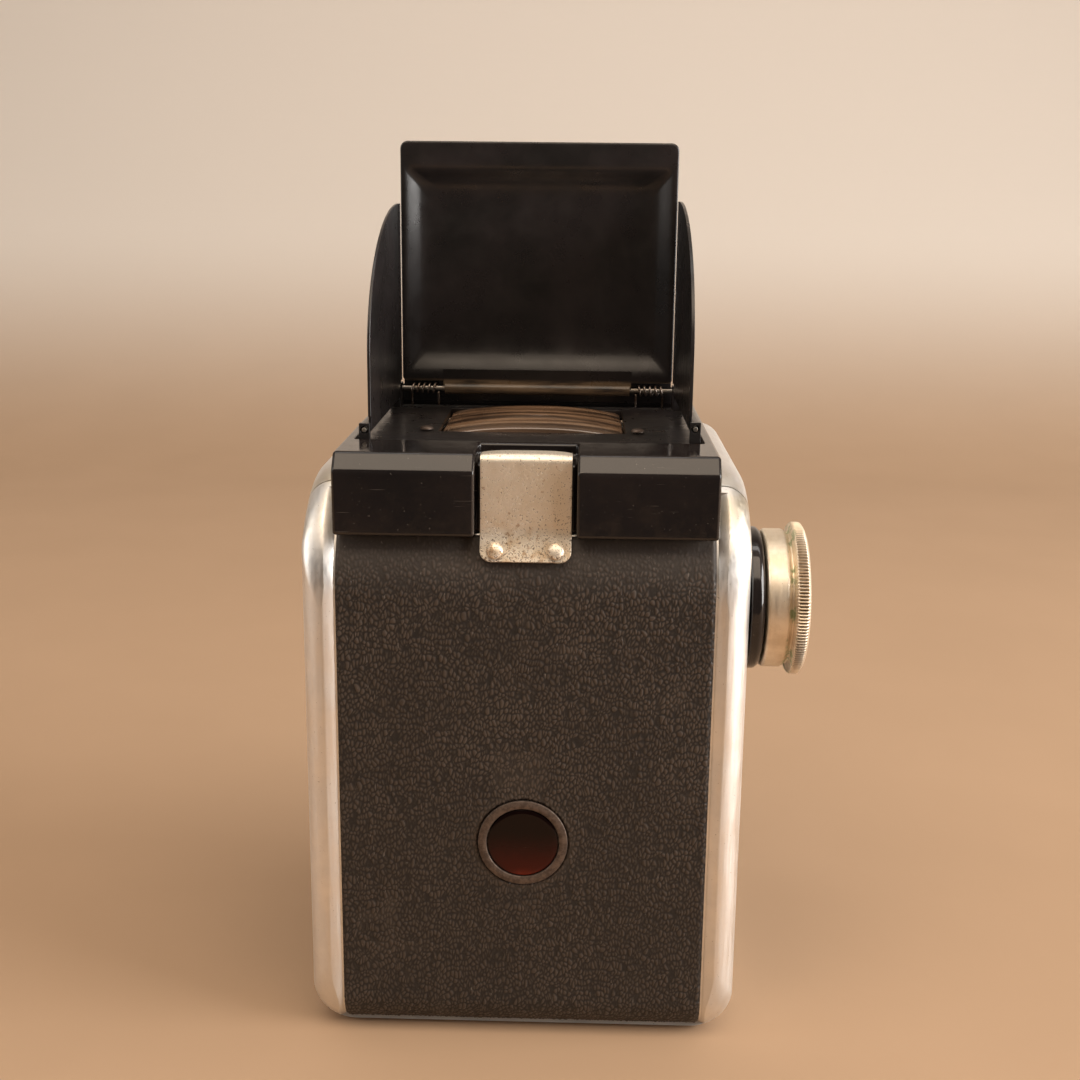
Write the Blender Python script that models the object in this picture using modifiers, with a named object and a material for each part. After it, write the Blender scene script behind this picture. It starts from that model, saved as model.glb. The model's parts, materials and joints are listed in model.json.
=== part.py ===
"""Roll film box camera with a reflecting finder and a folding finder hood.

Frame: origin at the middle of the base, +Z up, +Y towards the lens, +X towards the winding knob.
Sizes below are in millimetres; every mesh is scaled to metres when it is made.
"""
import math

import bmesh
import bpy
from mathutils import Matrix, Vector

MM = 0.001
GAP = 0.3  # clearance kept between pieces that touch

# casing: outer size and the radii of its edges
HALF_WIDTH = 40.4
BACK = -40.0
FRONT = 36.0
TOP = 108.5
BACK_ARC = 22.0  # the large curve between the back and the top
BASE_ARC = 8.0
SIDE_ARC = 5.0  # upright edges of back and front
FRONT_ARC = 6.0
SHOULDER = 5.0  # rounding between the sides and the top
WALL = 2.2
SEAM = -28.15  # the plane between the door and the body
PANEL_HALF = 34.0  # the leatherette and the top cover are this wide on each side
PANEL_TOP = 98.2
PANEL_FOOT = 238  # where the back's leatherette ends on the lower edge's curve, in degrees
PANEL_DEEP = 0.7

# door hinge, along the bottom of the seam
HINGE_Z = 2.1
KNUCKLE_R = 1.8
SWEEP_R = 3.1
BODY_KNUCKLE = 11.5  # half length of the middle knuckle
DOOR_KNUCKLE = 28.0  # outer end of the two door knuckles

# top cover
COVER_TOP = 113.2
COVER_BACK = -40.6
COVER_FRONT = 34.0
COVER_ARC = 1.5
EAR_SLOPE_HIGH, EAR_SLOPE_DEEP = 3.0, 2.5
ROOM_HALF = 31.9  # the opening in the cover for the hood's frame
ROOM_BACK, ROOM_FRONT = -24.9, 28.7
NOTCH_HALF = 9.0
NOTCH_WALL = -36.0
STEP_TOP = 110.9

# film path
SPOOL_Y, SPOOL_Z = -23.0, 83.8
SUPPLY_Y, SUPPLY_Z = -2.0, 14.2
SPOOL_R = 11.5
SPOOL_HALF = 32.75
GATE_Y = -34.6
GATE_Z = 42.8
GATE_HALF = 27.0
ROLLER_Y = -34.5
ROLLER_R = 1.8
ROLLER_ZS = {"film_roller_top": 73.4, "film_roller_bottom": 12.3}

# winding knob
BOSS_HIGH = 2.9
KNOB_R = 14.3

# lenses and front
LENS_Z = 47.0
VIEW_Z = 91.0
TAKING_HOLE_R = 9.0
VIEW_HOLE_R = 10.0
PLATE_HALF = 35.5
PLATE_LOW, PLATE_HIGH = 5.0, 103.5
PLATE_THICK = 1.8
LENS_BASE = FRONT + 2.1  # the face of the front plate, where the shutter and the bezel stand
SCREW_PLACES = ((-31, 9.5), (31, 9.5), (-31, 97), (31, 97))

# openings and recesses of the body
WELL_LOW, WELL_HIGH = (-22, -9, 98), (22, 24, 120)  # under the finder's lens
TRIPOD_Y = 20.0
TRIPOD_R = 6.0
SIDE_PANEL_LOW = (-23.7, 9.3)  # (y, z) of the side leatherettes' corners
SIDE_PANEL_HIGH = (30.7, 95.7)
SIDE_PANEL_THICK = 0.5
SIDE_RECESS = 0.8
BEYOND = 45  # past every outer face
ABOVE = 120  # past the cover's top
PIN_BORE_R = 1.0
HINGE_PIN_R = 0.65

# finder and hood
FRAME_TOP = 112.0
FINDER_Y = 7.5
FINDER_HALF_X, FINDER_HALF_Y = 18.0, 15.0
FLAP_X = 30.5
FLAP_Z = {"left": 114.6, "right": 115.6}  # the right flap folds over the left one
FLAP_FRONT = 23.9
FLAP_BACK = -22.5
FLAP_SHEET = 0.6
LID_Y, LID_Z = 26.0, 115.9
LID_HALF = 28.9
LID_TOP = 167.7
LID_SHEET = 0.7
LID_KNUCKLE_HALF = 20.0
LID_KNUCKLE_R = 1.2
HOOD_BORE_R = 0.75
FRAME_HALF = 31.6
FRAME_BACK, FRAME_FRONT = -24.6, 28.4
FRAME_THICK = 1.4
LUG_OVER = 1.2  # how far a lug stands above its pin's axis
FLAP_LUG_YS = (-23.3, 22.9)
FLAP_BARREL_Y, FLAP_BARREL = 0.3, 44.2

# back window and latch
WINDOW_Z = 40.4
WINDOW_R = 6.5
RING_INNER, RING_OUTER = 6.8, 8.2
LATCH_Z = 94.0
LATCH_NECK = -37.2  # inner face of the clip where it stands in the notch
RIVET_X, RIVET_Z = 5.4, 96.0
RIVET_LEAN = math.radians(24)
LATCH_HALF = 8.1
LATCH_SHEET = 0.8

SMOOTH = math.radians(35)


def clear_scene():
    for obj in list(bpy.data.objects):
        bpy.data.objects.remove(obj, do_unlink=True)


clear_scene()
parts = bpy.data.collections.new("box_camera")
cutters = bpy.data.collections.new("cutters")
bpy.context.scene.collection.children.link(parts)
bpy.context.scene.collection.children.link(cutters)


def material(name, colour, roughness, metallic=0.0, transmission=0.0):
    mat = bpy.data.materials.new(name)
    mat.use_nodes = True
    shader = mat.node_tree.nodes["Principled BSDF"]
    shader.inputs["Base Color"].default_value = (*colour, 1)
    shader.inputs["Roughness"].default_value = roughness
    shader.inputs["Metallic"].default_value = metallic
    shader.inputs["Transmission Weight"].default_value = transmission
    return mat


ALLOY = material("satin_alloy", (0.72, 0.69, 0.64), 0.38, 1.0)
LEATHER = material("leatherette", (0.045, 0.037, 0.033), 0.6)
GLOSS = material("gloss_black", (0.012, 0.01, 0.01), 0.16)
ENAMEL = material("black_enamel", (0.022, 0.019, 0.018), 0.36)
MATT = material("matt_black", (0.01, 0.01, 0.01), 0.8)
NICKEL = material("nickel", (0.68, 0.55, 0.42), 0.3, 1.0)
STEEL = material("steel", (0.5, 0.48, 0.45), 0.35, 1.0)
GLASS = material("glass", (0.9, 0.9, 0.86), 0.04, 0.0, 1.0)
RED = material("red_celluloid", (0.22, 0.01, 0.008), 0.12, 0.0, 0.4)
MIRROR = material("silvered_glass", (0.9, 0.9, 0.9), 0.03, 1.0)
DULL = material("dull_brown_ring", (0.11, 0.075, 0.055), 0.5, 0.6)


# ---------------------------------------------------------------- helpers


def arc(cx, cy, radius, start, end, steps):
    """Points of an arc in degrees, both ends included."""
    angles = [math.radians(start + (end - start) * i / steps) for i in range(steps + 1)]
    return [(cx + radius * math.cos(a), cy + radius * math.sin(a)) for a in angles]


def rounded(half_w, low, high, r_low, r_high, steps=5):
    """A rounded rectangle, anticlockwise: half width, low and high sides, radii of the corners."""
    return (
        arc(half_w - r_low, low + r_low, r_low, -90, 0, steps)
        + arc(half_w - r_high, high - r_high, r_high, 0, 90, steps)
        + arc(r_high - half_w, high - r_high, r_high, 90, 180, steps)
        + arc(r_low - half_w, low + r_low, r_low, 180, 270, steps)
    )


def keep(name, bm, mat=None, origin=(0, 0, 0)):
    """Make an object of a bmesh drawn in millimetres, with its origin at the given point."""
    bmesh.ops.recalc_face_normals(bm, faces=bm.faces)
    bmesh.ops.translate(bm, verts=bm.verts, vec=-Vector(origin))
    bmesh.ops.scale(bm, verts=bm.verts, vec=(MM, MM, MM))
    mesh = bpy.data.meshes.new(name)
    bm.to_mesh(mesh)
    bm.free()
    obj = bpy.data.objects.new(name, mesh)
    obj.location = Vector(origin) * MM
    if mat:
        mesh.materials.append(mat)
        mesh.shade_smooth()
        mesh.set_sharp_from_angle(angle=SMOOTH)
        parts.objects.link(obj)
    else:
        obj.hide_render = True
        obj.display_type = "WIRE"
        cutters.objects.link(obj)
    return obj


def block(name, low, high, mat=None, origin=(0, 0, 0)):
    """A box between two corners."""
    bm = bmesh.new()
    bmesh.ops.create_cube(bm, size=1)
    size = Vector(high) - Vector(low)
    bmesh.ops.scale(bm, verts=bm.verts, vec=size)
    bmesh.ops.translate(bm, verts=bm.verts, vec=(Vector(high) + Vector(low)) / 2)
    return keep(name, bm, mat, origin)


def rod(name, axis, centre, radius, length, mat=None, origin=None, sides=24):
    """A cylinder along X, Y or Z."""
    turn = {"X": Matrix.Rotation(math.pi / 2, 4, "Y"), "Z": Matrix.Identity(4)}
    turn["Y"] = Matrix.Rotation(math.pi / 2, 4, "X")
    bm = bmesh.new()
    bmesh.ops.create_cone(
        bm, cap_ends=True, segments=sides, radius1=radius, radius2=radius, depth=length
    )
    bmesh.ops.transform(bm, matrix=Matrix.Translation(centre) @ turn[axis], verts=bm.verts)
    return keep(name, bm, mat, origin or centre)


def prism(name, outline, low, high, plane, mat=None, origin=(0, 0, 0)):
    """A flat outline, in the YZ plane or the XZ plane, drawn out between two positions."""
    bm = bmesh.new()
    if plane == "YZ":
        verts = [bm.verts.new((low, u, v)) for u, v in outline]
        reach = Vector((high - low, 0, 0))
    elif plane == "XZ":
        verts = [bm.verts.new((u, low, v)) for u, v in outline]
        reach = Vector((0, high - low, 0))
    else:
        verts = [bm.verts.new((u, v, low)) for u, v in outline]
        reach = Vector((0, 0, high - low))
    face = bm.faces.new(verts)
    drawn = bmesh.ops.extrude_face_region(bm, geom=[face])
    moved = [v for v in drawn["geom"] if isinstance(v, bmesh.types.BMVert)]
    bmesh.ops.translate(bm, verts=moved, vec=reach)
    return keep(name, bm, mat, origin)


def loft(name, rings, mat=None, origin=(0, 0, 0)):
    """A closed skin through rings of 3-D points that all have the same count."""
    bm = bmesh.new()
    rows = [[bm.verts.new(p) for p in ring] for ring in rings]
    count = len(rows[0])
    for a, b in zip(rows, rows[1:]):
        for i in range(count):
            bm.faces.new((a[i], a[(i + 1) % count], b[(i + 1) % count], b[i]))
    bm.faces.new(rows[0])
    bm.faces.new(rows[-1])
    return keep(name, bm, mat, origin)


def turned(name, profile, axis, centre, mat=None, steps=32, closed=False):
    """A turned piece: a profile of (radius, height) run top to bottom, about X, Y or Z.

    The height runs along the axis from the centre, towards its positive end.
    """
    turn = {"X": (0, math.pi / 2, 0), "Y": (-math.pi / 2, 0, 0), "Z": (0, 0, 0)}
    mesh = bpy.data.meshes.new(name)
    verts = [(r * MM, 0, h * MM) for r, h in profile]
    edges = [(i, i + 1) for i in range(len(verts) - 1)]
    if closed:
        edges.append((len(verts) - 1, 0))
    mesh.from_pydata(verts, edges, [])
    obj = bpy.data.objects.new(name, mesh)
    obj.location = Vector(centre) * MM
    obj.rotation_euler = turn[axis]
    screw = obj.modifiers.new("turn", "SCREW")
    screw.steps = steps
    screw.render_steps = steps
    screw.use_merge_vertices = True
    screw.merge_threshold = 0.00001
    if mat:
        mesh.materials.append(mat)
        parts.objects.link(obj)
    else:
        obj.hide_render = True
        obj.display_type = "WIRE"
        cutters.objects.link(obj)
    return obj


def change(obj, other, operation):
    mod = obj.modifiers.new(other.name, "BOOLEAN")
    mod.operation = operation
    mod.object = other
    mod.solver = "EXACT"


def cut(obj, *others):
    for other in others:
        change(obj, other, "DIFFERENCE")


def join(obj, *others):
    for other in others:
        change(obj, other, "UNION")


def ride_on(child, parent):
    bpy.context.view_layer.update()
    child.parent = parent
    child.matrix_parent_inverse = parent.matrix_world.inverted()


# ---------------------------------------------------------------- casing outline


def rise(distance, radius):
    """How far a rounded edge has come up, a distance in from its start."""
    if distance >= radius:
        return radius
    return math.sqrt(max(0, radius**2 - (radius - distance) ** 2))


def casing_ring(y, inset, ceiling):
    """The casing's outline at one depth, inset by a wall: rounded on every edge."""
    from_back = max(0, y - (BACK + inset))
    from_front = max(0, FRONT - inset - y)
    side_r = max(0.6, SIDE_ARC - inset)
    front_r = max(0.6, FRONT_ARC - inset)
    back_r = BACK_ARC - inset
    base_r = BASE_ARC - inset
    side = min(rise(from_back, side_r), rise(from_front, side_r)) - side_r
    top = min(rise(from_back, back_r) - back_r, rise(from_front, front_r) - front_r)
    base = min(rise(from_back, base_r) - base_r, rise(from_front, front_r) - front_r)
    half = HALF_WIDTH - inset + side
    high = min(TOP - inset + top, ceiling)
    low = inset - base
    outline = rounded(half, low, high, BASE_ARC - inset / 2, SHOULDER - inset / 2, 6)
    return [(x, y, z) for x, z in outline]


def casing(name, start, end, inset=0.0, ceiling=TOP, mat=None, origin=(0, 0, 0)):
    """A length of the casing as a solid, from one depth to another."""
    stops = {start, end}
    for radius in (SIDE_ARC - inset, BACK_ARC - inset, BASE_ARC - inset):
        for i in range(1, 9):
            stops.add(BACK + inset + radius * (1 - math.cos(math.radians(i * 11.25))))
    for i in range(1, 7):
        stops.add(FRONT - inset - (FRONT_ARC - inset) * (1 - math.cos(math.radians(15 * i))))
    inside = sorted(y for y in stops if start <= y <= end)
    chosen = [inside[0]]
    for y in inside[1:-1]:
        if y - chosen[-1] > 0.25 and end - y > 0.25:
            chosen.append(y)
    chosen.append(end)
    return loft(name, [casing_ring(y, inset, ceiling) for y in chosen], mat, origin)


def back_line(depth, foot, high, steps=12):
    """The back's side outline as (y, z) points, set in by a depth.

    It starts on the lower edge's curve, at the foot's angle, and ends at a height.
    """
    base = arc(BACK + BASE_ARC, BASE_ARC, BASE_ARC - depth, foot, 180, 6)
    bend = arc(BACK + BACK_ARC, TOP - BACK_ARC, BACK_ARC - depth, 180, 90, steps)
    return base + [p for p in bend if p[1] < high - 0.5] + [(back_height(depth, high), high)]


def back_height(depth, z):
    """The back's y at one height on the large curve."""
    radius = BACK_ARC - depth
    rise_z = max(0, z - (TOP - BACK_ARC))
    return BACK + BACK_ARC - math.sqrt(radius**2 - rise_z**2)


def back_sheet(name, inner, outer, half, foot, high, mat=None, origin=(0, 0, 0)):
    """A sheet that follows the back, between two depths."""
    outline = back_line(outer, foot, high) + back_line(inner, foot, high)[::-1]
    return prism(name, outline, -half, half, "YZ", mat, origin)


# ---------------------------------------------------------------- body


def make_body():
    body = casing("body_shell", SEAM + 0.15, FRONT, mat=ALLOY)
    hollow = casing("body_hollow", SEAM, FRONT - WALL, WALL, TOP - WALL)
    cut(body, hollow)
    cut(body, block("hood_well", WELL_LOW, WELL_HIGH))
    cut(body, rod("taking_hole", "Y", (0, FRONT, LENS_Z), TAKING_HOLE_R, 12))
    cut(body, rod("viewing_hole", "Y", (0, FRONT, VIEW_Z), VIEW_HOLE_R, 12))
    cut(body, rod("shaft_hole", "X", (HALF_WIDTH, SPOOL_Y, SPOOL_Z), 3.6, 12))
    cut(body, rod("tripod_hole", "Z", (0, TRIPOD_Y, 0), TRIPOD_R + GAP, 12))
    for side in (-1, 1):
        near = HALF_WIDTH - SIDE_RECESS
        low = (min(side * near, side * BEYOND), SIDE_PANEL_LOW[0] - GAP, SIDE_PANEL_LOW[1] - GAP)
        high = (max(side * near, side * BEYOND), SIDE_PANEL_HIGH[0] + GAP, SIDE_PANEL_HIGH[1] + GAP)
        cut(body, block("side_recess", low, high))
    length = HALF_WIDTH - BODY_KNUCKLE
    for side in (-1, 1):
        middle = side * (BODY_KNUCKLE + length / 2 + 0.2)
        cut(body, rod("hinge_room", "X", (middle, SEAM, HINGE_Z), SWEEP_R, length))
    join(body, rod("knuckle", "X", (0, SEAM, HINGE_Z), KNUCKLE_R, 2 * BODY_KNUCKLE))
    cut(body, rod("pin_bore", "X", (0, SEAM, HINGE_Z), PIN_BORE_R, 60))
    return body


def make_side_panels():
    for name, side in (("side_leatherette_left", -1), ("side_leatherette_right", 1)):
        low = min(side * (HALF_WIDTH - SIDE_PANEL_THICK), side * HALF_WIDTH)
        rear, foot = SIDE_PANEL_LOW
        fore, head = SIDE_PANEL_HIGH
        outline = [(rear, foot), (fore, foot), (fore, head), (rear, head)]
        panel = prism(name, outline, low, low + SIDE_PANEL_THICK, "YZ", LEATHER)
        if side > 0:
            cut(panel, rod("boss_room", "X", (HALF_WIDTH, SPOOL_Y, SPOOL_Z), 13.8, 6))


def make_top_cover():
    rear = [(SEAM - 0.25, PANEL_TOP + 0.4), (COVER_BACK, PANEL_TOP + 0.4)]
    slope = [(COVER_BACK, COVER_TOP - EAR_SLOPE_HIGH), (COVER_BACK + EAR_SLOPE_DEEP, COVER_TOP)]
    front = arc(COVER_FRONT - COVER_ARC, COVER_TOP - COVER_ARC, COVER_ARC, 90, 0, 4)
    under = [(COVER_FRONT, TOP + GAP), (SEAM - 0.25, TOP + GAP)]
    outline = rear + slope + front + under
    cover = prism("top_cover", outline, -PANEL_HALF, PANEL_HALF, "YZ", GLOSS)
    edge = cover.modifiers.new("soft_edges", "BEVEL")
    edge.width = 0.5 * MM
    edge.segments = 2
    edge.limit_method = "ANGLE"
    edge.angle_limit = math.radians(40)
    cut(cover, block("notch", (-NOTCH_HALF, -45, 90), (NOTCH_HALF, NOTCH_WALL, 120)))
    cut(cover, block("step", (-NOTCH_HALF, -37, STEP_TOP), (NOTCH_HALF, -27, 120)))
    cut(cover, block("hood_room", (-ROOM_HALF, ROOM_BACK, 100), (ROOM_HALF, ROOM_FRONT, ABOVE)))
    for side in (-1, 1):
        low = (min(side * 11, side * 32), COVER_BACK + 2, PANEL_TOP + 2.4)
        high = (max(side * 11, side * 32), -28, 110.5)
        cut(cover, block("ear_hollow", low, high))


def make_catch():
    low = (-6.5, NOTCH_WALL, STEP_TOP + GAP)
    catch = block("latch_catch", low, (6.5, -28.5, STEP_TOP + GAP + 0.6), NICKEL)
    for x in (-2.2, 2.2):
        cut(catch, rod("catch_hole", "Z", (x, -31.5, STEP_TOP), 0.7, 6, sides=12))


def make_tripod_bush():
    outline = [(3.2, 7), (TRIPOD_R, 7), (TRIPOD_R, 0.1), (3.2, 0.1)]
    turned("tripod_bush", outline, "Z", (0, TRIPOD_Y, 0), NICKEL, 24, True)


# ---------------------------------------------------------------- door


def make_door():
    hinge = (0, SEAM, HINGE_Z)
    door = casing("back_door", BACK, SEAM - 0.15, mat=ALLOY, origin=hinge)
    cut(door, casing("door_hollow", BACK + WALL, SEAM, WALL, PANEL_TOP - WALL))
    cut(door, block("ear_room", (-PANEL_HALF - GAP, -BEYOND, PANEL_TOP), (PANEL_HALF + GAP, -20, ABOVE)))
    recess_foot = PANEL_FOOT + 3
    cut(door, back_sheet("leather_room", 1.0, -3.0, PANEL_HALF + GAP, recess_foot, 103))
    cut(door, rod("window_hole", "Y", (0, BACK, WINDOW_Z), 5.5, 12))
    middle = 2 * BODY_KNUCKLE + 0.8
    cut(door, rod("knuckle_room", "X", hinge, SWEEP_R, middle))
    length = DOOR_KNUCKLE - BODY_KNUCKLE - 0.6
    for side in (-1, 1):
        centre = (side * (BODY_KNUCKLE + 0.6 + length / 2), SEAM, HINGE_Z)
        join(door, rod("door_knuckle", "X", centre, KNUCKLE_R, length))
    cut(door, rod("door_bore", "X", hinge, PIN_BORE_R, 60))
    rod("door_hinge_pin", "X", hinge, HINGE_PIN_R, 55.6, STEEL, sides=12)

    panel = back_sheet(
        "back_leatherette", PANEL_DEEP, 0, PANEL_HALF, PANEL_FOOT, PANEL_TOP, LEATHER
    )
    cut(panel, rod("ring_room", "Y", (0, BACK, WINDOW_Z), 8.5, 12))
    ride_on(panel, door)
    return door


def make_window(door):
    centre = (0, BACK, WINDOW_Z)
    ring_outline = [(RING_INNER, 0.7), (RING_OUTER, 0.7), (RING_OUTER, 0), (RING_INNER, 0)]
    ring = turned("red_window_ring", ring_outline, "Y", centre, DULL, 32, True)
    disc_outline = [(0, 0.7), (WINDOW_R, 0.7), (WINDOW_R, 0.1), (0, 0.1)]
    disc = turned("red_window", disc_outline, "Y", centre, RED, 32)
    low = (-30, BACK + WALL + 0.4, 15)
    plate = block("pressure_plate", low, (30, BACK + WALL + 1.0, 70), ENAMEL)
    cut(plate, rod("number_hole", "Y", centre, 5, 12))
    for piece in (ring, disc, plate):
        ride_on(piece, door)


def make_latch(door):
    """A sprung clip that follows the back's curve, stands in the notch and laps over the catch."""
    foot_y = back_height(0, LATCH_Z) - GAP
    pivot = (0, foot_y, LATCH_Z)
    neck_y = LATCH_NECK
    top_z = STEP_TOP + GAP + 0.6 + 0.5
    inner = [
        (foot_y, LATCH_Z),
        (back_height(0, 96.3) - GAP, 96.3),
        (neck_y, 98.6),
        (neck_y, top_z - 1),
        (neck_y + 1, top_z),
        (-33.6, top_z),
    ]
    outer = [
        (-33.6, top_z + LATCH_SHEET),
        (neck_y + 0.6, top_z + LATCH_SHEET),
        (neck_y - LATCH_SHEET, top_z - 0.6),
        (neck_y - LATCH_SHEET, 98.8),
        (back_height(0, 96.3) - GAP - LATCH_SHEET, 96.6),
        (foot_y - LATCH_SHEET, LATCH_Z + 0.2),
    ]
    clip = prism("latch_clip", inner + outer, -LATCH_HALF, LATCH_HALF, "YZ", NICKEL, pivot)
    ride_on(clip, door)
    for name, x in (("latch_rivet_left", -RIVET_X), ("latch_rivet_right", RIVET_X)):
        face_y = back_height(0, RIVET_Z) - 2 * GAP - LATCH_SHEET - 0.15
        dome = [(1.45, 0), (1.3, -0.45), (0.8, -0.75), (0, -0.85)]
        head = turned(name, [(0, 0)] + dome, "Y", (x, face_y, RIVET_Z), NICKEL, 16)
        head.rotation_euler.x -= RIVET_LEAN
        ride_on(head, clip)


# ---------------------------------------------------------------- film chamber


def make_light_cone():
    """The black tapering box between the shutter and the picture gate, with rails for the film."""

    def square(y, half_x, half_z, mid_z):
        corners = ((-1, -1), (1, -1), (1, 1), (-1, 1))
        return [(i * half_x, y, mid_z + j * half_z) for i, j in corners]

    skin = 1.2
    outer = [
        square(GATE_Y, GATE_HALF + 2.2, GATE_HALF + 1.4, GATE_Z),
        square(32, 11, 11, LENS_Z),
    ]
    inner = [
        square(GATE_Y - 1, GATE_HALF + 1.0, GATE_HALF + 0.35, GATE_Z),
        square(33, 11 - skin, 11 - skin, LENS_Z),
    ]
    cone = loft("light_cone", outer, MATT)
    flange_low = (-36.4, GATE_Y, GATE_Z - GATE_HALF - 1.4)
    flange_high = (36.4, GATE_Y + 1.2, GATE_Z + GATE_HALF + 1.4)
    join(cone, block("gate_flange", flange_low, flange_high))
    for side in (-1, 1):
        low = (min(side * 34.8, side * 36.4), ROLLER_Y - 1.9, 10)
        high = (max(side * 34.8, side * 36.4), GATE_Y + 1.2, 75.6)
        join(cone, block("film_rail", low, high))
    cut(cone, loft("cone_hollow", inner))
    for z in ROLLER_ZS.values():
        cut(cone, rod("roller_bore", "X", (0, ROLLER_Y, z), 0.95, 80, sides=12))


def make_rollers():
    for name, z in ROLLER_ZS.items():
        half = 34.3
        pin = 36.0
        outline = [
            (0, pin),
            (0.6, pin),
            (0.6, half),
            (ROLLER_R, half),
            (ROLLER_R, -half),
            (0.6, -half),
            (0.6, -pin),
            (0, -pin),
        ]
        turned(name, outline, "X", (0, ROLLER_Y, z), STEEL, 16)


def make_spool(name, y, z):
    core, bore, deep, flange = 4.5, 2.9, 5.0, 0.9
    outline = [
        (0, SPOOL_HALF - deep),
        (bore, SPOOL_HALF - deep),
        (bore, SPOOL_HALF),
        (SPOOL_R, SPOOL_HALF),
        (SPOOL_R, SPOOL_HALF - flange),
        (core, SPOOL_HALF - flange),
        (core, flange - SPOOL_HALF),
        (SPOOL_R, flange - SPOOL_HALF),
        (SPOOL_R, -SPOOL_HALF),
        (bore, -SPOOL_HALF),
        (bore, deep - SPOOL_HALF),
        (0, deep - SPOOL_HALF),
    ]
    turned(name, outline, "X", (0, y, z), ENAMEL, 28)


def make_pivots():
    """Pins that hold the spools: two sprung ones on the left and a fixed one on the right."""
    seat, pin = 4.5, 2.3
    places = (
        ("take_up_pivot", SPOOL_Y, SPOOL_Z, -1),
        ("supply_pivot_sprung", SUPPLY_Y, SUPPLY_Z, -1),
        ("supply_pivot_fixed", SUPPLY_Y, SUPPLY_Z, 1),
    )
    for name, y, z, side in places:
        start = side * (SPOOL_HALF + 0.4)
        outline = [(0, 1.0), (seat, 1.0), (seat, 0), (pin, 0), (pin, -2.6), (0, -2.6)]
        piece = turned(name, outline, "X", (start, y, z), STEEL, 16)
        if side < 0:
            piece.rotation_euler = (0, -math.pi / 2, 0)


# ---------------------------------------------------------------- winding knob


def make_knob():
    boss_outline = [
        (4.5, BOSS_HIGH),
        (12.6, BOSS_HIGH),
        (13.4, BOSS_HIGH - 0.8),
        (13.4, GAP),
        (4.5, GAP),
    ]
    turned("knob_boss", boss_outline, "X", (HALF_WIDTH, SPOOL_Y, SPOOL_Z), GLOSS, 32, True)
    start = HALF_WIDTH + BOSS_HIGH + GAP
    centre = (start, SPOOL_Y, SPOOL_Z)
    knob_outline = [
        (0, 7.4),
        (12.3, 7.4),
        (12.3, 7.8),
        (13.7, 7.8),
        (KNOB_R, 7.2),
        (KNOB_R, 5.7),
        (13.7, 5.2),
        (12.2, 5.0),
        (12.4, 4.3),
        (13.0, 3.9),
        (13.0, 0.6),
        (12.6, 0),
        (0, 0),
    ]
    knob = turned("winding_knob", knob_outline, "X", centre, NICKEL, 48)
    cap_outline = [(0, 8.7), (7, 8.5), (11.5, 8.1), (12.0, 7.7), (0, 7.7)]
    cap = turned("knob_cap", cap_outline, "X", centre, NICKEL, 32)
    inner_end = 33.6
    length = start - GAP - inner_end
    middle = (inner_end + length / 2, SPOOL_Y, SPOOL_Z)
    shaft = rod("winding_shaft", "X", middle, 2.8, length, STEEL)
    key_low = (30.2, SPOOL_Y - 2.2, SPOOL_Z - 0.6)
    join(shaft, block("key", key_low, (34.0, SPOOL_Y + 2.2, SPOOL_Z + 0.6)))
    for piece in (cap, shaft):
        ride_on(piece, knob)


# ---------------------------------------------------------------- front


def make_front():
    outline = rounded(PLATE_HALF, PLATE_LOW, PLATE_HIGH, 5, 8)
    plate = prism("front_plate", outline, FRONT + GAP, FRONT + PLATE_THICK, "XZ", LEATHER)
    cut(plate, rod("plate_taking_hole", "Y", (0, FRONT, LENS_Z), TAKING_HOLE_R + 1, 12))
    cut(plate, rod("plate_viewing_hole", "Y", (0, FRONT, VIEW_Z), VIEW_HOLE_R + 0.5, 12))
    for i, (x, z) in enumerate(SCREW_PLACES):
        head = [(0, 0.7), (1.3, 0.55), (1.8, 0), (0, 0)]
        turned(f"front_screw_{i + 1}", head, "Y", (x, LENS_BASE, z), NICKEL, 16)


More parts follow.
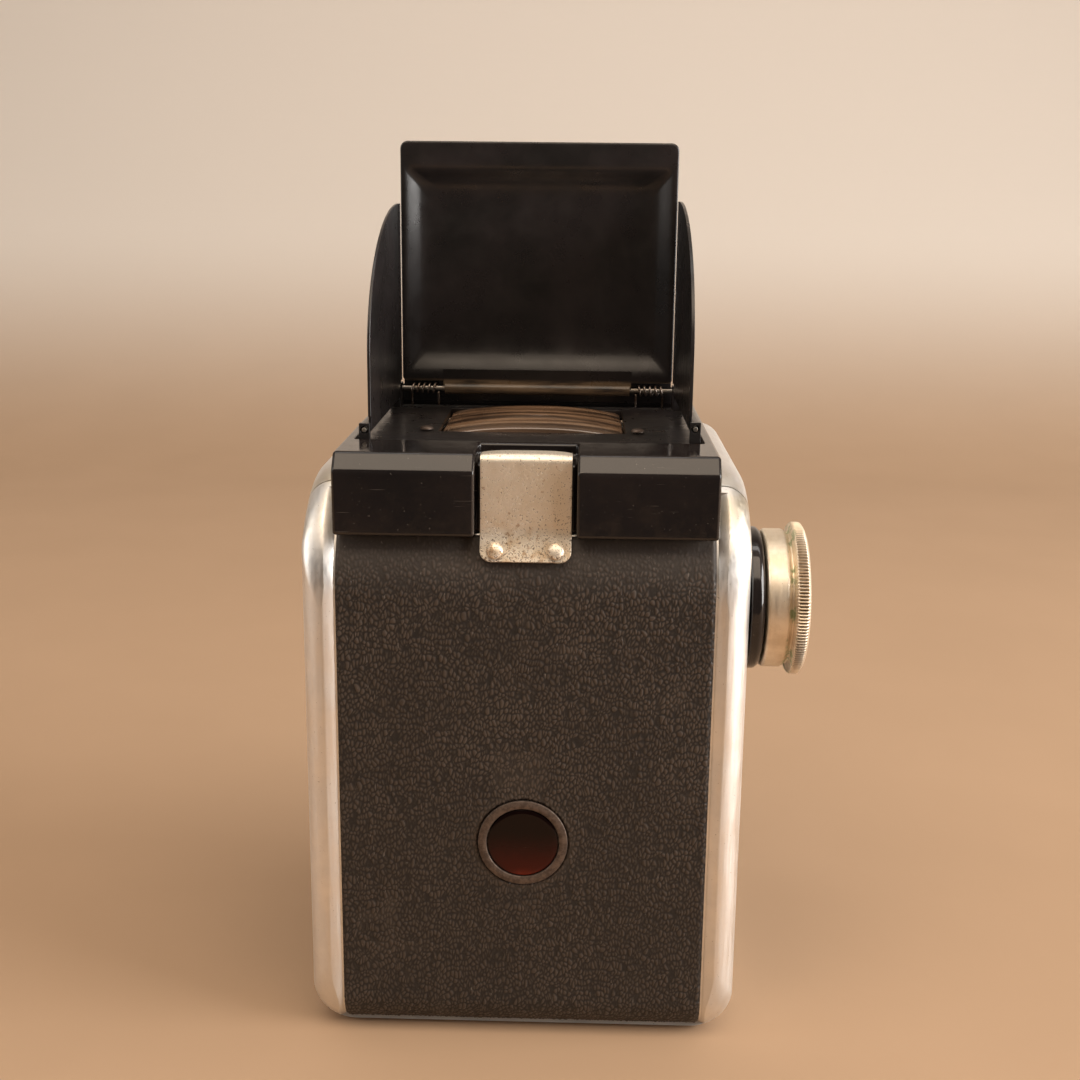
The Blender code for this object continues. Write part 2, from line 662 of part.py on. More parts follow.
def make_shutter():
    base = LENS_BASE
    centre = (0, base, LENS_Z)
    outline = [
        (11, 6.4),
        (24, 6.4),
        (25, 5.4),
        (25, 0),
        (23.6, 0),
        (23.6, 5.0),
        (11, 5.0),
    ]
    housing = turned("shutter_housing", outline, "Y", centre, ALLOY, 48, True)
    slot_low = (14, base + 2.2, LENS_Z - 21)
    cut(housing, block("lever_slot", slot_low, (30, base + 4.2, LENS_Z - 7)))
    plate = turned(
        "aperture_plate",
        [(5, 0.8), (23.1, 0.8), (23.1, 0), (5, 0)],
        "Y",
        (0, base + 0.1, LENS_Z),
        MATT,
        40,
        True,
    )
    ride_on(plate, housing)

    pivot = (-14, base + 1.6, LENS_Z - 8)
    fan = arc(0, 0, 22.0, 8, 52, 8)
    hub = arc(0, 0, 2.2, 120, 320, 8)
    sector = [(pivot[0] + u, pivot[2] + v) for u, v in fan + hub]
    prism("shutter_blade", sector, base + 1.3, base + 1.8, "XZ", STEEL, pivot)

    lever_pivot = (12, base + 2.9, LENS_Z - 14)
    tip = [(29.5, LENS_Z - 12.2), (29.5, LENS_Z - 9.6)]
    tail = arc(lever_pivot[0], lever_pivot[2], 2.0, 95, 265, 8)
    outline = [tail[-1]] + [(20, LENS_Z - 14.6)] + tip + [(20, LENS_Z - 11.5)] + tail[:-1]
    lever = prism("release_lever", outline, base + 2.5, base + 3.3, "XZ", NICKEL, lever_pivot)
    cut(lever, rod("lever_bore", "Y", lever_pivot, 1.0, 4, sides=12))
    post = (lever_pivot[0], base + 2.9, lever_pivot[2])
    rod("lever_post", "Y", post, 0.65, 3.2, STEEL, sides=12)

    selector_pivot = (-17, base + 7.2, LENS_Z + 11)
    u, v = selector_pivot[0], selector_pivot[2]
    outline = arc(u, v, 1.8, 60, 240, 8) + [(u - 0.5, v - 5.6), (u + 1.2, v - 5.6)]
    prism("speed_selector", outline, base + 6.8, base + 7.6, "XZ", NICKEL, selector_pivot)


def make_lenses():
    base = LENS_BASE
    barrel = [(8.2, 10.6), (10.2, 10.6), (10.6, 10.0), (10.6, 4.2), (8.2, 4.2)]
    turned("lens_barrel", barrel, "Y", (0, base, LENS_Z), GLOSS, 36, True)
    glass = [(0, 8.4), (4, 8.2), (7.8, 7.0), (7.8, 5.6), (0, 5.6)]
    turned("taking_lens", glass, "Y", (0, base, LENS_Z), GLASS, 32)
    ring = [(6.6, 9.6), (7.9, 9.6), (7.9, 8.0), (6.9, 8.0)]
    turned("lens_ring", ring, "Y", (0, base, LENS_Z), NICKEL, 32, True)
    bezel = [(9.0, 3.8), (12.0, 3.8), (13.0, 2.8), (13.0, 0), (9.0, 0)]
    turned("viewing_lens_bezel", bezel, "Y", (0, base, VIEW_Z), ALLOY, 36, True)
    view = [(0, 3.0), (5, 2.6), (8.7, 1.2), (8.7, 0.2), (0, 0.2)]
    turned("viewing_lens", view, "Y", (0, base, VIEW_Z), GLASS, 32)


# ---------------------------------------------------------------- finder


def make_finder():
    shelf = [
        (33.3, 73.0),
        (33.3, 73.8),
        (-9.8, 73.8),
        (-9.8, 105.8),
        (-10.6, 105.8),
        (-10.6, 73.0),
    ]
    prism("finder_partition", shelf, -24, 24, "YZ", MATT)
    half = 19.0
    mirror = [(-9.0, 103.6), (-8.0, 104.6), (21.5, 75.1), (20.5, 74.1)]
    prism("finder_mirror", mirror, -half, half, "YZ", MIRROR)

    frame_low = (-FRAME_HALF, FRAME_BACK, FRAME_TOP - FRAME_THICK)
    frame = block("finder_frame", frame_low, (FRAME_HALF, FRAME_FRONT, FRAME_TOP), ENAMEL)
    low = (-FINDER_HALF_X - GAP, FINDER_Y - FINDER_HALF_Y - GAP, 100)
    high = (FINDER_HALF_X + GAP, FINDER_Y + FINDER_HALF_Y + GAP, 120)
    cut(frame, block("lens_opening", low, high))
    for side, z in ((-1, FLAP_Z["left"]), (1, FLAP_Z["right"])):
        for y in FLAP_LUG_YS:
            x = side * FLAP_X
            lug = block("flap_lug", (x - 1, y, FRAME_TOP - 1), (x + 1, y + 1, z + LUG_OVER))
            join(frame, lug)
        inner, outer = LID_HALF + 0.3, LID_HALF + 1.4
        low = (min(side * inner, side * outer), 24.9, FRAME_TOP - 1)
        high = (max(side * inner, side * outer), 27.1, LID_Z + LUG_OVER)
        join(frame, block("lid_lug", low, high))
        cut(frame, rod("flap_bore", "Y", (side * FLAP_X, 0, z), HOOD_BORE_R, 60, sides=12))
    cut(frame, rod("lid_bore", "X", (0, LID_Y, LID_Z), 0.8, 70, sides=12))

    rings = []
    dome = ((0, -3.2), (0, -0.1), (0.5, 0.4), (3.5, 0.75), (8, 1.0), (12, 1.1))
    for inset, up in dome:
        z = FRAME_TOP + up
        wide = FINDER_HALF_X - inset
        deep = FINDER_HALF_Y - inset
        flat = rounded(wide, -deep, deep, 1.5, 1.5, 3)
        rings.append([(x, FINDER_Y + y, z) for x, y in flat])
    loft("finder_lens", rings, GLASS)
    for name, x in (("finder_rivet_left", -20.6), ("finder_rivet_right", 20.6)):
        head = [(0, 0.7), (0.8, 0.5), (1.3, 0), (0, 0)]
        turned(name, head, "Z", (x, -7, FRAME_TOP + GAP), DULL, 16)


def make_flap(side):
    sign = -1 if side == "left" else 1
    hinge_z = FLAP_Z[side]
    x = sign * FLAP_X
    near = sign * (FLAP_X - 1.2)
    far = sign * (FLAP_X - 1.2 + FLAP_SHEET)
    back_z = hinge_z + 13.0
    top_z = hinge_z + 40.3
    clear_z = hinge_z + 2.2
    curve = [
        (
            FLAP_FRONT - (FLAP_FRONT - FLAP_BACK) * math.cos(math.radians(a)),
            back_z + (top_z - back_z) * math.sin(math.radians(a)),
        )
        for a in range(0, 91, 9)
    ]
    foot = [
        (FLAP_FRONT, clear_z),
        (22.4, clear_z),
        (22.4, hinge_z),
        (-21.8, hinge_z),
        (-21.8, clear_z),
        (FLAP_BACK, clear_z),
    ]
    origin = (x, 0, hinge_z)
    low, high = sorted((near, far))
    flap = prism(f"hood_flap_{side}", curve + foot, low, high, "YZ", ENAMEL, origin)
    middle = (x, FLAP_BARREL_Y, hinge_z)
    join(flap, rod("flap_barrel", "Y", middle, 1.1, FLAP_BARREL, sides=16))
    cut(flap, rod("barrel_bore", "Y", middle, HOOD_BORE_R, 60, sides=12))
    rod(f"flap_pin_{side}", "Y", middle, 0.45, 47.6, STEEL, sides=8)


def make_lid():
    """A pressed sheet: a turned edge, a flat border and a deep panel, standing upright."""
    low, high = LID_Z + 0.6, LID_TOP
    face = LID_Y - 0.5
    rows = (
        (0.0, 0.0, 0.0, 1.7, 1.6),
        (0.0, 0.0, 0.0, 0.6, 1.6),
        (0.5, 0.5, 0.5, 0.0, 1.5),
        (2.0, 5.4, 2.6, 0.0, 1.4),
        (2.8, 6.3, 3.6, 0.5, 1.4),
        (4.2, 7.8, 5.2, 1.9, 1.8),
        (5.6, 9.2, 6.8, 2.6, 2.2),
        (8.0, 11.8, 9.6, 2.9, 2.4),
    )
    bm = bmesh.new()
    rings = []
    for side, top, base, deep, radius in rows:
        flat = rounded(LID_HALF - side, low + base, high - top, radius, radius, 4)
        rings.append([bm.verts.new((x, face + deep, z)) for x, z in flat])
    count = len(rings[0])
    for a, b in zip(rings, rings[1:]):
        for i in range(count):
            bm.faces.new((a[i], a[(i + 1) % count], b[(i + 1) % count], b[i]))
    bm.faces.new(rings[-1])
    lid = keep("hood_lid", bm, ENAMEL, (0, LID_Y, LID_Z))
    sheet = lid.modifiers.new("sheet", "SOLIDIFY")
    sheet.thickness = LID_SHEET * MM
    sheet.offset = -1
    sheet.use_even_offset = True
    for side in (-1, 1):
        corner = (min(side * 20.4, side * 30), 20, 110)
        other = (max(side * 20.4, side * 30), 40, LID_Z + 2.3)
        cut(lid, block("spring_room", corner, other))
    join(lid, rod("lid_knuckle", "X", (0, LID_Y, LID_Z), LID_KNUCKLE_R, 2 * LID_KNUCKLE_HALF, sides=16))
    cut(lid, rod("knuckle_bore", "X", (0, LID_Y, LID_Z), 0.8, 60, sides=12))
    rod("lid_hinge_pin", "X", (0, LID_Y, LID_Z), 0.5, 60.2, STEEL, sides=12)


def make_lid_spring(name, side):
    """A coil round the lid's hinge pin, with a short leg along the frame."""
    turns, radius, wire = 4, 1.3, 0.22
    start, end = side * 21.2, side * 27.4
    points = []
    for i in range(turns * 8 + 1):
        a = 2 * math.pi * i / 8
        x = start + (end - start) * i / (turns * 8)
        points.append((x, LID_Y + radius * math.cos(a), LID_Z + radius * math.sin(a)))
    curve = bpy.data.curves.new(name, "CURVE")
    curve.dimensions = "3D"
    curve.bevel_depth = wire * MM
    curve.bevel_resolution = 1
    curve.use_fill_caps = True
    spline = curve.splines.new("POLY")
    spline.points.add(len(points) - 1)
    for point, place in zip(spline.points, points):
        point.co = (*(Vector(place) * MM), 1)
    curve.materials.append(STEEL)
    parts.objects.link(bpy.data.objects.new(name, curve))


make_body()
make_side_panels()
make_top_cover()
make_catch()
make_tripod_bush()
back_door = make_door()
make_window(back_door)
make_latch(back_door)
make_light_cone()
make_rollers()
make_spool("take_up_spool", SPOOL_Y, SPOOL_Z)
make_spool("supply_spool", SUPPLY_Y, SUPPLY_Z)
make_pivots()
make_knob()
make_front()
make_shutter()
make_lenses()
make_finder()
make_flap("left")
make_flap("right")
make_lid()
make_lid_spring("lid_spring_left", -1)
make_lid_spring("lid_spring_right", 1)
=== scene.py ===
"""Looks of the roll film box camera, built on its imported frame.

Lengths are in millimetres along the frame's axes: +Z up, +Y towards the lens, +X towards the knob.
Every mesh is drawn in millimetres and scaled to metres when it is made.
"""
import json
import math

import bmesh
import bpy
import numpy as np
from mathutils import Matrix, Vector


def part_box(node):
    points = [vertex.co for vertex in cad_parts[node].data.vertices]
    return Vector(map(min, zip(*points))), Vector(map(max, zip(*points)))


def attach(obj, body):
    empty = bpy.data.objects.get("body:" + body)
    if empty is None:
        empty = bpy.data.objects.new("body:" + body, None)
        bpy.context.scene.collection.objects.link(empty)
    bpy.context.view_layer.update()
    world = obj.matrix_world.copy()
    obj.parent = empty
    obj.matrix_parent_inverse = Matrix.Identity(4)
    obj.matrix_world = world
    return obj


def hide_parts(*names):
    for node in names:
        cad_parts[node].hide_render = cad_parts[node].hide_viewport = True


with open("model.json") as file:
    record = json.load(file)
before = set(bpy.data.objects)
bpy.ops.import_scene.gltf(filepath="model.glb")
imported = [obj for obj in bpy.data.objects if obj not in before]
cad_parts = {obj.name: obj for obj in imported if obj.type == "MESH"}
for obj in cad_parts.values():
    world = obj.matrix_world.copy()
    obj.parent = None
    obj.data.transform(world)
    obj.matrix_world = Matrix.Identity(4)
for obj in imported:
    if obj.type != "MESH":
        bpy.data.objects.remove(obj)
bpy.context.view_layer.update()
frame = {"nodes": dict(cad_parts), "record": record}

MM = 0.001
SLOTS = {row["node"]: row["material_slot"] for row in frame["record"]["subparts"]}
BODIES = {
    node: body
    for body, nodes in frame["record"]["behaviour"]["bodies"].items()
    for node in nodes
}


def span(node):
    """Lowest and highest corners of a node, in millimetres."""
    low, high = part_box(node)
    return low / MM, high / MM


def measured(node):
    """A node's lowest and highest corners, its middle and half its size."""
    low, high = span(node)
    return low, high, (low + high) / 2, (high - low) / 2


def centre_of(node):
    return measured(node)[2]


# ---- places read from the frame

body_high = span("body_shell")[1]
leather_low, leather_high = span("back_leatherette")
cover_low, cover_high = span("top_cover")
HALF_WIDTH = body_high.x
FRONT = body_high.y
TOP = body_high.z
BACK = leather_low.y
PANEL_HALF = leather_high.x
PANEL_TOP = leather_high.z
COVER_TOP = cover_high.z
COVER_BACK = cover_low.y
SPOOL = centre_of("take_up_spool")
HINGE = centre_of("door_hinge_pin")
WINDOW = centre_of("red_window_ring")
LENS = centre_of("taking_lens")
VIEW = centre_of("viewing_lens")
FRONT_BASE = span("viewing_lens_bezel")[0].y
LID_PIN = centre_of("lid_hinge_pin")
SEAM = HINGE.y

# radii and thicknesses of the casing
BACK_ARC = 22.0
BASE_ARC = 8.0
SIDE_ARC = 5.0
FRONT_ARC = 6.0
SHOULDER = 5.0
WALL = 2.2
KNUCKLE_R = 1.8
SWEEP_R = 3.1
BODY_KNUCKLE = 11.5
DOOR_KNUCKLE = 28.0
PANEL_FOOT = 238
GAP = 0.3
KNUCKLE_GAP = 0.6  # between the middle knuckle and each of the door's
SEAM_HALF = 0.15  # from the seam's plane to the edge of each half of the casing
WINDOW_HOLE_R = 5.5
TAKING_HOLE_R = 9
VIEW_HOLE_R = 10
SHAFT_HOLE_R = 3.6
TRIPOD_Y, TRIPOD_HOLE_R = 20, 6.3
PIN_BORE_R = 1.0
SIDE_RECESS = 0.8
BEYOND = 45  # past every outer face
ABOVE = 120  # past the cover's top
WELL_LOW, WELL_HIGH = (-22, -9, 98), (22, 24, ABOVE)  # under the finder's lens
NOTCH_HALF = 9  # the latch's place between the ears
EAR_SLOPE_DEEP, EAR_SLOPE_HIGH = 2.5, 3.0
COVER_FRONT, COVER_ARC = 34, 1.5
ROOM_LOW, ROOM_HIGH = (-31.9, -24.9, 100), (31.9, 28.7, ABOVE)  # for the hood's frame
LEATHER_SET = 0.66  # how far the back's leatherette lies below the crown of the trims
CROWN = 2.3  # from the leatherette's edge to the crown of the trim

scene = bpy.context.scene


# ---- materials


class Finish:
    """A procedural material: a Principled shader and the nodes that feed it."""

    def __init__(self, name, metallic=0.0, specular=0.5):
        self.material = bpy.data.materials.new(name)
        self.material.use_nodes = True
        self.tree = self.material.node_tree
        self.shader = self.tree.nodes["Principled BSDF"]
        self.shader.inputs["Metallic"].default_value = metallic
        self.shader.inputs["Specular IOR Level"].default_value = specular
        self.place = self.tree.nodes.new("ShaderNodeTexCoord").outputs["Object"]

    def feed(self, socket, value):
        if isinstance(value, bpy.types.NodeSocket):
            self.tree.links.new(value, socket)
        elif hasattr(value, "__len__") and len(value) == 3 and socket.type == "RGBA":
            socket.default_value = (*value, 1)
        else:
            socket.default_value = value

    def colour(self, value):
        self.feed(self.shader.inputs["Base Color"], value)

    def rough(self, value):
        self.feed(self.shader.inputs["Roughness"], value)

    def gloss_coat(self, weight, roughness):
        self.shader.inputs["Coat Weight"].default_value = weight
        self.shader.inputs["Coat Roughness"].default_value = roughness

    def stretched(self, stretch, shift=(0, 0, 0)):
        node = self.tree.nodes.new("ShaderNodeMapping")
        self.tree.links.new(self.place, node.inputs["Vector"])
        node.inputs["Scale"].default_value = stretch
        node.inputs["Location"].default_value = shift
        return node.outputs["Vector"]

    def noise(self, size, detail=3.0, roughness=0.5, stretch=(1, 1, 1), shift=(0, 0, 0)):
        """Noise whose features are about that many millimetres across."""
        node = self.tree.nodes.new("ShaderNodeTexNoise")
        self.feed(node.inputs["Vector"], self.stretched(stretch, shift))
        node.inputs["Scale"].default_value = 1 / (size * MM)
        node.inputs["Detail"].default_value = detail
        node.inputs["Roughness"].default_value = roughness
        return node.outputs["Fac"]

    def axis(self, name):
        node = self.tree.nodes.new("ShaderNodeSeparateXYZ")
        self.tree.links.new(self.place, node.inputs["Vector"])
        return node.outputs[name]

    def attribute(self, name):
        node = self.tree.nodes.new("ShaderNodeAttribute")
        node.attribute_name = name
        return node.outputs["Fac"]

    def edges(self):
        return self.tree.nodes.new("ShaderNodeNewGeometry").outputs["Pointiness"]

    def span(self, value, low, high, start=0.0, end=1.0):
        """Maps a value's range smoothly onto another one."""
        node = self.tree.nodes.new("ShaderNodeMapRange")
        node.interpolation_type = "SMOOTHSTEP"
        self.feed(node.inputs["Value"], value)
        for socket, number in zip(("From Min", "From Max", "To Min", "To Max"), (low, high, start, end)):
            node.inputs[socket].default_value = number
        return node.outputs["Result"]

    def maths(self, operation, first, second=0.0):
        node = self.tree.nodes.new("ShaderNodeMath")
        node.operation = operation
        self.feed(node.inputs[0], first)
        self.feed(node.inputs[1], second)
        return node.outputs["Value"]

    def times(self, first, second):
        return self.maths("MULTIPLY", first, second)

    def mix(self, share, first, second):
        """A colour between two others."""
        node = self.tree.nodes.new("ShaderNodeMix")
        node.data_type = "RGBA"
        self.feed(node.inputs["Factor"], share)
        self.feed(node.inputs[6], first)
        self.feed(node.inputs[7], second)
        return node.outputs[2]

    def bump(self, height, depth, under=None):
        """Relief of a height from 0 to 1, that many millimetres deep."""
        node = self.tree.nodes.new("ShaderNodeBump")
        node.inputs["Strength"].default_value = 1.0
        node.inputs["Distance"].default_value = depth * MM
        self.feed(node.inputs["Height"], height)
        if under:
            self.feed(node.inputs["Normal"], under)
        self.feed(self.shader.inputs["Normal"], node.outputs["Normal"])
        return node.outputs["Normal"]


def satin_alloy():
    """Cast alloy worn smooth: pale, faintly cloudy, yellowed at the top corners and darker below."""
    f = Finish("satin_alloy", metallic=1.0)
    height = f.axis("Z")
    brushed = f.noise(0.5, 4, 0.6, stretch=(1, 1, 0.04))
    cloudy = f.noise(9, 4, 0.6)
    rear = f.span(f.axis("Y"), -0.020, -0.030)
    patina = f.times(f.span(height, 0.094, 0.105), f.span(f.noise(6, 3), 0.30, 0.62))
    patina = f.times(patina, rear)
    base = f.mix(f.span(cloudy, 0.3, 0.7), (0.90, 0.885, 0.86), (0.80, 0.78, 0.75))
    yellow = f.mix(f.times(patina, 0.65), base, (0.62, 0.50, 0.30))
    low = f.mix(f.span(height, 0.035, 0.0, 0, 0.35), yellow, (0.60, 0.57, 0.52))
    specks = f.span(f.noise(0.35, 2, 0.6), 0.70, 0.76)
    f.colour(f.mix(f.times(specks, 0.7), low, (0.16, 0.12, 0.08)))
    f.rough(f.span(f.maths("ADD", brushed, cloudy), 0.7, 1.3, 0.36, 0.52))
    dents = f.bump(f.noise(4, 2), 0.03)
    f.bump(brushed, 0.004, dents)
    return f.material


def leatherette():
    """Pebbled cloth: grooves painted near-black as shade, brown crests that shine a little and are painted
    darker lower down as shade, lighter where worn and where a sheen is painted, dust in places.
    """
    f = Finish("leatherette", specular=0.5)
    grain = f.attribute("grain")
    wear_and_sheen = f.attribute("wear_and_sheen")
    cloudy = f.noise(14, 4, 0.6)
    dust = f.span(f.noise(0.45, 3, 0.7), 0.67, 0.75)
    fibres = f.span(f.noise(0.5, 2, 0.5, stretch=(1, 1, 0.22)), 0.70, 0.76)
    # painted shade: the grooves between the pebbles are coloured near-black
    groove = (0.008, 0.006, 0.005)
    crest = f.mix(f.span(cloudy, 0.35, 0.68), (0.046, 0.034, 0.027), (0.066, 0.050, 0.040))
    # painted shade: the crests are coloured darker towards the bottom
    lower = f.span(f.axis("Z"), 0.085, 0.02, 0.0, 0.45)
    crest = f.mix(lower, crest, (0.030, 0.022, 0.018))
    colour = f.mix(f.span(grain, 0.0, 0.5), groove, crest)
    # lighter brown from the attribute: worn marks, and a painted sheen up the back's top curve
    colour = f.mix(f.times(wear_and_sheen, 0.5), colour, (0.105, 0.080, 0.062))
    marks = f.maths("MAXIMUM", dust, fibres)
    colour = f.mix(f.times(marks, 0.28), colour, (0.34, 0.29, 0.25))
    f.colour(colour)
    f.rough(f.span(f.maths("ADD", grain, f.noise(1.2, 3)), 0.4, 1.3, 0.60, 0.33))
    f.bump(f.noise(0.22, 3, 0.6), 0.02)
    return f.material


def gloss_black():
    f = Finish("gloss_black", specular=0.5)
    cloudy = f.noise(18, 3)
    dust = f.span(f.noise(0.5, 2, 0.6), 0.71, 0.76)
    scratch = f.span(f.noise(0.35, 2, 0.5, stretch=(0.05, 1, 1)), 0.69, 0.76)
    marks = f.maths("MAXIMUM", dust, f.times(scratch, 0.4))
    black = f.mix(f.span(cloudy, 0.3, 0.7), (0.009, 0.0075, 0.0075), (0.016, 0.012, 0.011))
    f.colour(f.mix(f.times(marks, 0.35), black, (0.33, 0.29, 0.25)))
    f.rough(f.span(f.noise(3, 4, 0.6), 0.35, 0.75, 0.07, 0.2))
    f.bump(f.noise(7, 2), 0.02)
    return f.material


def black_enamel(name="black_enamel", reflection_below=None):
    """Semi-gloss enamel. Below a height in millimetres, where one is given, the barrel of the lid's pin gets
    a streaky brown painted reflection.
    """
    f = Finish(name, specular=0.5)
    cloudy = f.noise(16, 4, 0.6)
    chips = f.times(f.span(f.edges(), 0.58, 0.66), f.span(f.noise(1.6, 3, 0.6), 0.62, 0.70))
    black = f.mix(f.span(cloudy, 0.3, 0.7), (0.010, 0.0088, 0.0085), (0.019, 0.0150, 0.0150))
    if reflection_below is None:
        worn = f.mix(f.times(chips, 0.5), black, (0.14, 0.10, 0.07))
    else:
        # painted reflection: below the height, on the barrel, the enamel is coloured a streaky brown; in this
        # branch worn holds that painted reflection, not chips
        reflection_streaks = f.span(f.noise(1.4, 4, 0.6, stretch=(0.12, 1, 1)), 0.30, 0.62)
        foot = f.span(f.axis("Z"), (reflection_below + 0.8) * MM, reflection_below * MM)
        barrel = f.span(f.axis("Y"), (LID_PIN.y + 1.5) * MM, (LID_PIN.y + 1.3) * MM)
        foot = f.times(foot, barrel)
        worn = f.mix(f.times(foot, reflection_streaks), black, (0.15, 0.105, 0.065))
    dust = f.span(f.noise(0.7, 3, 0.6), 0.70, 0.77)
    f.colour(f.mix(f.times(dust, 0.12), worn, (0.25, 0.22, 0.19)))
    f.rough(f.span(f.noise(5, 4, 0.6), 0.3, 0.75, 0.26, 0.40))
    uneven = f.bump(f.noise(9, 3), 0.03)
    f.bump(f.noise(0.5, 2), 0.003, uneven)
    return f.material


def matt_black():
    f = Finish("matt_black", specular=0.3)
    dust = f.span(f.noise(1.0, 4, 0.7), 0.55, 0.75)
    f.colour(f.mix(dust, (0.008, 0.008, 0.008), (0.03, 0.026, 0.023)))
    f.rough(f.span(f.noise(2), 0.3, 0.7, 0.72, 0.9))
    f.bump(f.noise(0.3, 3), 0.015)
    return f.material


def nickel():
    """Champagne plate gone dull, with brown rust specks that crowd together where the clip ends."""
    f = Finish("nickel", metallic=0.85)
    height = f.axis("Z")
    foot = f.span(height, 0.1045, 0.0945, 0.0, 1.0)
    knob = f.span(f.axis("X"), 0.038, 0.042)
    crowd = f.times(foot, f.maths("SUBTRACT", 1.0, knob))
    level = f.maths("ADD", f.noise(0.30, 3, 0.65), f.times(crowd, 0.055))
    specks = f.span(level, 0.605, 0.655)
    blots = f.span(f.maths("ADD", f.noise(1.1, 3, 0.6), f.times(crowd, 0.10)), 0.66, 0.74)
    cloudy = f.noise(5, 4, 0.6)
    brushed = f.noise(0.3, 3, 0.6, stretch=(1, 1, 0.05))
    base = f.mix(f.span(cloudy, 0.3, 0.7), (0.90, 0.82, 0.70), (0.82, 0.72, 0.58))
    stain = f.times(crowd, f.span(f.noise(2.2, 3), 0.45, 0.7, 0, 0.6))
    base = f.mix(stain, base, (0.60, 0.40, 0.20))
    base = f.mix(f.times(blots, 0.6), base, (0.34, 0.19, 0.09))
    base = f.mix(f.times(specks, 0.9), base, (0.10, 0.05, 0.025))
    f.colour(base)
    wear_and_sheen = f.maths("ADD", brushed, f.times(specks, 0.8))
    f.rough(f.span(wear_and_sheen, 0.3, 1.4, 0.46, 0.70))
    pits = f.bump(f.maths("SUBTRACT", 1.0, specks), 0.02)
    f.bump(brushed, 0.003, pits)
    return f.material


def knob_nickel():
    """The knob's duller plate, with a green bloom in its groove and a darker brown between the ridges."""
    f = Finish("knob_nickel", metallic=0.9)
    base_x = span("winding_knob")[0].x * MM
    depth = f.maths("SUBTRACT", f.axis("X"), base_x)
    groove = f.times(f.span(depth, 0.0034, 0.0044), f.span(depth, 0.0060, 0.0050))
    spot = f.span(f.noise(3.2, 3, 0.6, shift=(0, 0, 0.004)), 0.53, 0.62)
    green = f.times(groove, spot)
    cloudy = f.noise(4, 4, 0.6)
    turned_marks = f.noise(0.25, 2, 0.5, stretch=(1, 0.03, 0.03))
    base = f.mix(f.span(cloudy, 0.3, 0.7), (0.84, 0.74, 0.60), (0.68, 0.57, 0.43))
    # darker brown between the knurl's ridges, by their depth, in patches
    between_ridges = f.times(f.attribute("between_ridges"), f.span(f.noise(1.5, 3), 0.2, 0.6, 0.45, 1))
    base = f.mix(between_ridges, base, (0.15, 0.095, 0.05))
    base = f.mix(f.times(green, 0.8), base, (0.30, 0.37, 0.20))
    specks = f.span(f.noise(0.4, 3, 0.6), 0.68, 0.74)
    f.colour(f.mix(f.times(specks, 0.6), base, (0.2, 0.12, 0.06)))
    rough = f.span(f.maths("ADD", turned_marks, cloudy), 0.6, 1.4, 0.38, 0.56)
    f.rough(f.maths("MAXIMUM", rough, f.times(green, 0.7)))
    f.bump(turned_marks, 0.003)
    return f.material


def mottled(name, metallic, grain, edges, colours, rough, relief=None):
    """Two colours in patches, each with its own roughness. Relief is a noise's measures and its depth."""
    f = Finish(name, metallic=metallic)
    patches = f.span(f.noise(*grain), *edges)
    f.colour(f.mix(patches, *colours))
    f.rough(f.span(patches, 0, 1, *rough))
    if relief:
        f.bump(f.noise(*relief[0]), relief[1])
    return f.material


def steel(name, *colours):
    """Plain steel, dulled in patches."""
    return mottled(name, 1.0, (2.6, 4, 0.55), (0.34, 0.66), colours, (0.32, 0.48), ((0.5, 3, 0.6), 0.01))


def glass():
    f = Finish("glass")
    f.shader.inputs["Transmission Weight"].default_value = 1.0
    f.shader.inputs["IOR"].default_value = 1.5
    haze = f.span(f.noise(3, 4, 0.6), 0.5, 0.75)
    f.colour(f.mix(haze, (0.93, 0.90, 0.84), (0.84, 0.78, 0.68)))
    f.rough(f.span(haze, 0, 1, 0.02, 0.14))
    return f.material


def finder_glass():
    """The finder's top lens, its colour a painted reflection: dim coppery and pale streaks of light, darker
    towards the near edge.
    """
    f = Finish("finder_glass", specular=0.7)
    f.gloss_coat(0.6, 0.08)
    depth = f.axis("Y")
    # painted reflection: the base colour holds coppery and pale light streaks, and is darker towards the near
    # edge
    painted_streaks = f.noise(4.2, 3, 0.5, stretch=(0.07, 1, 1))
    near = f.span(depth, -0.007, 0.002, 1.0, 0.0)
    warm = f.mix(f.span(painted_streaks, 0.36, 0.60), (0.075, 0.045, 0.030), (0.46, 0.27, 0.155))
    pale = f.mix(f.span(painted_streaks, 0.54, 0.70), warm, (0.56, 0.40, 0.28))
    f.colour(f.mix(f.times(near, 0.8), pale, (0.10, 0.065, 0.045)))
    f.rough(f.span(f.noise(2.5, 3), 0.3, 0.7, 0.12, 0.26))
    f.bump(f.noise(5, 2, stretch=(0.3, 1, 1)), 0.05)
    return f.material


def red_celluloid():
    f = Finish("red_celluloid", specular=0.15)
    f.gloss_coat(0.15, 0.08)
    middle = WINDOW.z * MM
    rise = f.maths("ADD", f.axis("Z"), f.times(f.noise(2.5, 2), 0.0015))
    # painted light: the window's red is coloured brighter towards its lower part and near-black at the top,
    # as if lit through
    glow = f.span(rise, middle + 0.0035, middle - 0.0062)
    base = f.mix(glow, (0.004, 0.0010, 0.0008), (0.042, 0.0040, 0.0020))
    # painted highlight: a bright red crescent along the lower edge
    rim = f.span(rise, middle - 0.0042, middle - 0.0068)
    f.colour(f.mix(rim, base, (0.20, 0.020, 0.008)))
    f.rough(f.span(f.noise(2, 3), 0.3, 0.7, 0.1, 0.24))
    return f.material


def mirror():
    colours = (0.88, 0.87, 0.84), (0.42, 0.36, 0.3)
    return mottled("silvered_glass", 1.0, (2, 4, 0.6), (0.62, 0.74), colours, (0.03, 0.3))


